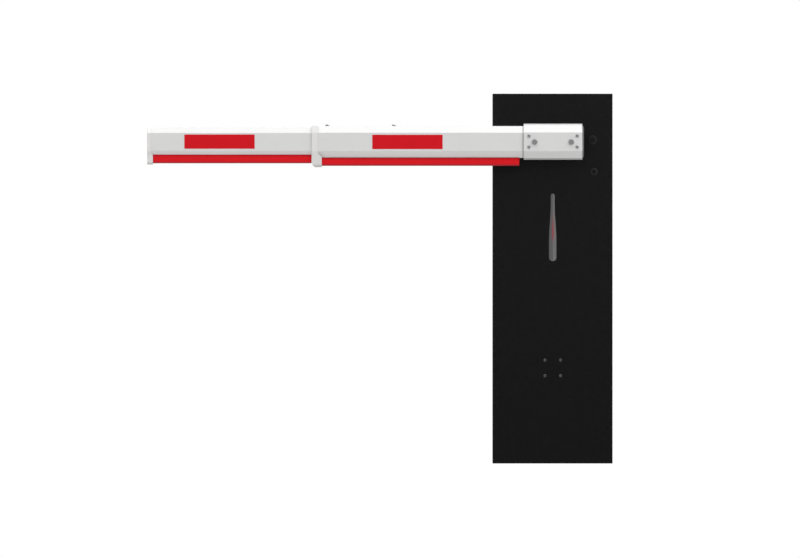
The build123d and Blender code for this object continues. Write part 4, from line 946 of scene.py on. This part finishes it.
# capacitor caps, each with a cross on top
CAPACITOR_XS, CAPACITOR_Z = (-0.070, -0.048, -0.026), 0.270
CAP_PROFILE = [
    (0.0, 0.0482), (0.0060, 0.0482), (0.0066, 0.0484), (0.0078, 0.0484), (0.0083, 0.0480),
    (0.0084, 0.0472), (0.0082, 0.0468)]
turned("capacitor_tops", CAP_PROFILE, "Y", [(x, CASE_Y, CAPACITOR_Z) for x in CAPACITOR_XS],
       TIN, "cabinet", sides=28)
ARM, ARM_HALF_WIDTH = 0.0058, 0.0002
boxes("capacitor_crosses",
      [(x - dx, x + dx, CASE_Y + 0.0481, CASE_Y + 0.0484, CAPACITOR_Z - dz, CAPACITOR_Z + dz)
       for x in CAPACITOR_XS for dx, dz in ((ARM, ARM_HALF_WIDTH), (ARM_HALF_WIDTH, ARM))],
      0.0001, COMPONENT_BLACK, "cabinet", segments=1)

# transformer
boxes("transformer_bobbin",
      [(-0.0690, -0.0310, BOARD_Y + 0.002, CASE_Y + 0.0555, 0.2975, 0.3545)],
      0.0030, TAPE, "cabinet", segments=4)
boxes("transformer_frame",
      [(-0.0815, -0.0785, BOARD_Y, CASE_Y + 0.0535, 0.2985, 0.3535),
       (-0.0215, -0.0185, BOARD_Y, CASE_Y + 0.0535, 0.2985, 0.3535),
       (-0.0815, -0.0185, CASE_Y + 0.0518, CASE_Y + 0.0530, 0.2992, 0.3528)],
      0.0006, MATS["zinc_steel"], "cabinet")

# fuse in its clips
FUSE_X, FUSE_Y, FUSE_Z = 0.030, BOARD_Y + 0.0048, 0.222
FUSE_CAP_PROFILE = [
    (0.0, -0.0100), (0.0024, -0.0100), (0.0026, -0.0097), (0.0026, -0.0050),
    (0.0024, -0.0048), (0.0, -0.0048)]
turned("fuse_caps", FUSE_CAP_PROFILE, "X",
       [(FUSE_X, FUSE_Y, FUSE_Z), (FUSE_X + 0.0148, FUSE_Y, FUSE_Z)], TIN, "cabinet", sides=20)
turned("fuse_glass", [(0.0, -0.0078), (0.0022, -0.0076), (0.0022, 0.0076), (0.0, 0.0078)], "X",
       [(FUSE_X, FUSE_Y, FUSE_Z)], CREAM, "cabinet", sides=20)
boxes("fuse_clips",
      [(x0, x1, BOARD_Y, BOARD_Y + 0.0030, FUSE_Z - 0.0030, FUSE_Z + 0.0030)
       for x0, x1 in ((0.0205, 0.0250), (0.0350, 0.0398))],
      0.0005, BRASS, "cabinet")

boxes("relay_lids",
      [(x + 0.0004, x + 0.0176, CASE_Y + 0.0385, CASE_Y + 0.0402, 0.2554, 0.2846)
       for x in (0.006, 0.032, 0.058)],
      0.0008, RELAY_BLUE, "cabinet", segments=3)
BOARD_SCREW_PROFILE = [
    (0.0, 0.0030), (0.0010, 0.0030), (0.0026, 0.0026), (0.0032, 0.0016), (0.0033, 0.0002),
    (0.0033, 0.0), (0.0, 0.0)]
turned("board_screws", BOARD_SCREW_PROFILE, "Y",
       [(x, BOARD_Y, z) for x in (-0.080, 0.080) for z in (0.200, 0.356)], TIN, "cabinet",
       sides=20)

# ---------------------------------------------------------------------------
# motor terminal box with its lid, lid screws and gland
# ---------------------------------------------------------------------------
LID_FACE_X, BOX_BOTTOM = -0.0755, 0.6165
boxes("motor_terminal_box", [(-0.0720, -0.0430, 0.030, 0.086, BOX_BOTTOM, 0.6555)],
      0.0022, MATS["cast_aluminium"], "cabinet", segments=3)
boxes("motor_terminal_lid", [(LID_FACE_X, -0.0715, 0.028, 0.088, 0.6145, 0.6575)],
      0.0012, MATS["cast_aluminium"], "cabinet", segments=3)
LID_SCREW_PROFILE = [
    (0.0, -0.0026), (0.0013, -0.0026), (0.0024, -0.0020), (0.0028, -0.0008), (0.0028, 0.0),
    (0.0, 0.0)]
turned("terminal_box_screws", LID_SCREW_PROFILE, "X",
       [(LID_FACE_X, y, z) for y in (0.0335, 0.0825) for z in (0.6200, 0.6520)],
       MATS["zinc_steel"], "cabinet", sides=18)
MOTOR_GLAND_PROFILE = [
    (0.0042, -0.0170), (0.0060, -0.0168), (0.0074, -0.0150), (0.0084, -0.0110),
    (0.0088, -0.0060), (0.0096, -0.0058), (0.0096, -0.0012), (0.0100, -0.0010),
    (0.0100, 0.0005)]
turned("motor_cable_gland", MOTOR_GLAND_PROFILE, "Z", [(-0.0580, 0.0700, BOX_BOTTOM)],
       MATS["black_plastic"], "cabinet", sides=12)

# ---------------------------------------------------------------------------
# bearing shields between the races
# ---------------------------------------------------------------------------
SHIELD_STEP = 0.0006
# radius, distance along Y in steps
SHIELD_PROFILE = (
    (0.01975, 1.4), (0.0204, 0.8), (0.0212, 1.6), (0.0238, 1.6), (0.0246, 0.9),
    (0.0262, 0.9), (0.0264, 1.4))
# y, step that points into the bearing, material
SHIELDS = (
    (-0.129, SHIELD_STEP, MATS["black_rubber"]), (-0.113, -SHIELD_STEP, BRASS),
    (-0.046, SHIELD_STEP, BRASS), (-0.030, -SHIELD_STEP, MATS["black_rubber"]))
for i, (y, step, mat) in enumerate(SHIELDS):
    turned(f"bearing_shield_{i + 1}", [(r, step * h) for r, h in SHIELD_PROFILE], "Y",
           [(0, y, BEARING_Z)], mat, "cabinet", sides=48)

# ---------------------------------------------------------------------------
# welds on the spring shelf and the side returns
# ---------------------------------------------------------------------------
SHELF_WELDS = (
    ((0.022, -0.0566, 0.4386), (0.082, -0.0566, 0.4386)),
    ((0.0214, -0.0570, 0.392), (0.0214, -0.0570, 0.429)),
    ((0.0826, -0.0570, 0.392), (0.0826, -0.0570, 0.429)),
    ((0.0286, -0.066, 0.4294), (0.0286, -0.108, 0.4294)),
    ((0.0754, -0.066, 0.4294), (0.0754, -0.108, 0.4294)),
)
for i, (start, end) in enumerate(SHELF_WELDS):
    bead(f"shelf_weld_{i + 1}", start, end, 0.0022, WELD, "cabinet")
SIDE_WELDS = [(x, z) for x in (-0.1615, 0.1615)
              for z in (0.400, 0.520, 0.640, 0.760, 0.880, 0.960)]
for i, (x, z) in enumerate(SIDE_WELDS):
    bead(f"side_weld_{i + 1}", (x, -0.0502, z), (x, -0.0502, z + 0.018), 0.0018, WELD, "cabinet")

# grease nipple on the upper rod eye
NIPPLE_PROFILE = [
    (0.0030, 0.0), (0.0034, 0.0004), (0.0034, 0.0026), (0.0020, 0.0030), (0.0019, 0.0044),
    (0.0026, 0.0052), (0.0024, 0.0066), (0.0012, 0.0074), (0.0, 0.0075)]
turned("grease_nipple_upper", NIPPLE_PROFILE, "Z", [(ROD_X, ROD_Y, 0.8507)], BRASS, "rod",
       sides=16)


def ties(name, ctrl, radius, spots):
    """Cable ties at fractions of a cable's path: a flat band with a small lock block."""
    path = smooth_path(ctrl)
    sides, lock_rise = 20, 0.0022
    # band section: radius, distance along the cable
    band = [(radius * 0.98, -0.0013), (radius + 0.0007, -0.0013), (radius + 0.0009, 0.0),
            (radius + 0.0007, 0.0013), (radius * 0.98, 0.0013)]
    verts, faces = [], []
    for spot in spots:
        i = min(len(path) - 2, max(1, int(spot * (len(path) - 1))))
        along = (path[i + 1] - path[i - 1]).normalized()
        across = along.cross(Vector((0.3, 0.9, 0.2))).normalized()
        other = along.cross(across)
        faces += ring_faces(len(band), sides, base=len(verts))
        for r, h in band:
            for k in range(sides):
                a = 2 * math.pi * k / sides
                out = r + (lock_rise if k in (0, sides - 1) and r > radius else 0.0)
                verts.append(path[i] + along * h + across * (out * math.cos(a))
                             + other * (out * math.sin(a)))
    return mesh_object(name, verts, faces, MATS["black_plastic"], "cabinet")


ties("cable_ties_motor", MOTOR_PATH, MOTOR_CABLE_RADIUS, (0.35, 0.55, 0.74))
ties("cable_ties_lamp", LAMP_PATH, LAMP_CABLE_RADIUS, (0.42, 0.66))


def opening_trim():
    """Edge trim round the rounded rectangular cable opening."""
    centre_x, centre_y, corner = 0.063, 0.048, 0.0120
    # section: distance towards the middle of the opening, z
    section = [
        (-0.0022, 0.0001), (0.0006, 0.0001), (0.0012, 0.0006), (0.0012, 0.0059),
        (0.0006, 0.0066), (-0.0022, 0.0066), (-0.0026, 0.0060), (-0.0026, 0.0050),
        (-0.0002, 0.0050), (-0.0002, 0.0016), (-0.0026, 0.0016), (-0.0026, 0.0006)]
    rim = []
    for sx, sy, start in ((1, 1, 0), (-1, 1, 90), (-1, -1, 180), (1, -1, 270)):
        for j in range(9):
            a = math.radians(start + 90 * j / 8)
            rim.append((sx * centre_x + corner * math.cos(a), sy * centre_y + corner * math.sin(a)))
    verts = []
    for i, (x, y) in enumerate(rim):
        along = (Vector(rim[(i + 1) % len(rim)]) - Vector(rim[i - 1])).normalized()
        verts += [(x - along.y * inset, y + along.x * inset, z) for inset, z in section]
    faces = ring_faces(len(rim), len(section), closed=True)
    mesh_object("cable_opening_trim", verts, faces, MATS["black_rubber"], "cabinet")


def louvre_hoods():
    """Pressed hoods over the door louvres: six rows of two."""
    door_y, swell_out, lip_above, drop = 0.1450, 0.0032, 0.0066, 0.0086
    across, down = 22, 7
    verts, faces = [], []
    for row in range(6):
        z = 0.090 + 0.016 * row
        for x0, x1 in ((-0.0965, -0.0285), (0.0285, 0.0965)):
            base = len(verts)
            for i in range(across + 1):
                u = i / across
                x = x0 + (x1 - x0) * u
                from_end = min(1.0, min(u, 1 - u) * 9.0)
                swell = math.sin(from_end * math.pi / 2) ** 0.7
                for j in range(down + 1):
                    v = j / down
                    y = door_y + swell_out * swell * math.sin(v * math.pi / 2)
                    verts.append((x, y + 0.00005, z + lip_above - drop * v))
            for i in range(across):
                for j in range(down):
                    a = base + i * (down + 1) + j
                    faces.append((a, a + 1, a + down + 2, a + down + 1))
    hoods = mesh_object("door_louvre_hoods", verts, faces, MATS["black_powder_coat"], "door")
    thickness = hoods.modifiers.new("thickness", "SOLIDIFY")
    thickness.thickness = 0.0009
    thickness.offset = 1.0


opening_trim()
louvre_hoods()


# ---------------------------------------------------------------------------
# floor, light and camera
# ---------------------------------------------------------------------------
def floor_material():
    """Pale floor that turns pure white far out and at grazing views, clear from below."""
    g = Graph("studio_floor")
    geometry = g.node("ShaderNodeNewGeometry")
    tone = g.remap(g.noise(3.0), to=(0.80, 0.84))
    grey = g.node("ShaderNodeCombineColor")
    for i in range(3):
        g.put(grey.inputs[i], tone)
    diffuse = g.node("ShaderNodeBsdfDiffuse")
    g.put(diffuse.inputs["Color"], grey.outputs[0])
    white = g.node("ShaderNodeEmission")
    g.put(white.inputs["Color"], (1, 1, 1))
    clear = g.node("ShaderNodeBsdfTransparent")
    facing = g.node("ShaderNodeVectorMath", operation="DOT_PRODUCT")
    g.put(facing.inputs[0], geometry.outputs["Incoming"])
    g.put(facing.inputs[1], (0, 0, 1))
    steepness = g.math("ABSOLUTE", facing.outputs["Value"])
    grazing = g.remap(steepness, over=(0.02, 0.06), to=(1.0, 0.0))
    distance = g.node("ShaderNodeVectorMath", operation="LENGTH")
    g.put(distance.inputs[0], geometry.outputs["Position"])
    far = g.remap(distance.outputs["Value"], over=(1.8, 3.6), smooth=True)
    top = g.mix_shader(g.math("MAXIMUM", grazing, far), diffuse.outputs[0], white.outputs[0])
    both = g.mix_shader(geometry.outputs["Backfacing"], top, clear.outputs[0])
    g.put(g.out.inputs[0], both)
    return g.block


def build_floor():
    mesh = bpy.data.meshes.new("floor")
    bm = bmesh.new()
    bmesh.ops.create_circle(bm, cap_ends=True, radius=4.0, segments=96)
    bm.to_mesh(mesh)
    bm.free()
    floor = link(bpy.data.objects.new("floor", mesh))
    mesh.materials.append(floor_material())
    floor.visible_diffuse = False
    floor.visible_glossy = False
    floor.visible_shadow = False


def build_world():
    """White to the camera; lit brightest from above, dimmest at the horizon."""
    g = Graph("studio", world=True)
    bpy.context.scene.world = g.block
    height = g.remap(g.axis(2, vec=g.coord.outputs["Generated"]), over=(-1.0, 1.0))
    ramp = g.node("ShaderNodeValToRGB")
    g.put(ramp.inputs[0], height)
    below, above = ramp.color_ramp.elements
    below.position, above.position = 0.0, 1.0
    below.color = (0.573, 0.573, 0.573, 1)
    above.color = (1.0, 1.0, 1.0, 1)
    horizon = ramp.color_ramp.elements.new(0.5)
    horizon.color = (0.0776, 0.0776, 0.0776, 1)
    light = g.node("ShaderNodeBackground")
    g.put(light.inputs["Color"], ramp.outputs[0])
    g.put(light.inputs["Strength"], 2.19)
    backdrop = g.node("ShaderNodeBackground")
    g.put(backdrop.inputs["Color"], (1, 1, 1))
    seen = g.node("ShaderNodeLightPath").outputs["Is Camera Ray"]
    g.put(g.out.inputs[0], g.mix_shader(seen, light.outputs[0], backdrop.outputs[0]))


def build_key_light():
    """Soft sun from the +X, -Y side, above."""
    sun = bpy.data.lights.new("key_right", "SUN")
    sun.energy = 0.33
    sun.angle = math.radians(25)
    ob = link(bpy.data.objects.new("key_right", sun))
    ob.rotation_mode = "QUATERNION"
    towards = Vector((0.60, -0.70, 0.39)).normalized()
    ob.rotation_quaternion = towards.to_track_quat("Z", "Y")


def build_camera():
    """Very long lens looking along +Y, set back to span view_width at the plane view_y."""
    view_x, view_y, view_z = -0.42093, -0.2255, 0.5086
    view_width = 2.2024
    data = bpy.data.cameras.new("camera")
    data.lens = 1000.0
    data.sensor_width = 36.0
    data.clip_start = 1.0
    data.clip_end = 400.0
    camera = link(bpy.data.objects.new("camera", data))
    distance = view_width * 1000.0 / 36.0      # width times lens over sensor width
    camera.location = (view_x, view_y - distance, view_z)
    camera.rotation_euler = (math.radians(90), 0, 0)
    bpy.context.scene.camera = camera


build_floor()
build_world()
build_key_light()
build_camera()

scene = bpy.context.scene
scene.view_settings.view_transform = "Standard"
scene.view_settings.look = "None"
scene.view_settings.exposure = 0.0
scene.view_settings.gamma = 1.0
scene.cycles.max_bounces = 8
scene.cycles.diffuse_bounces = 4
scene.cycles.sample_clamp_indirect = 4.0
scene.cycles.use_denoising = True
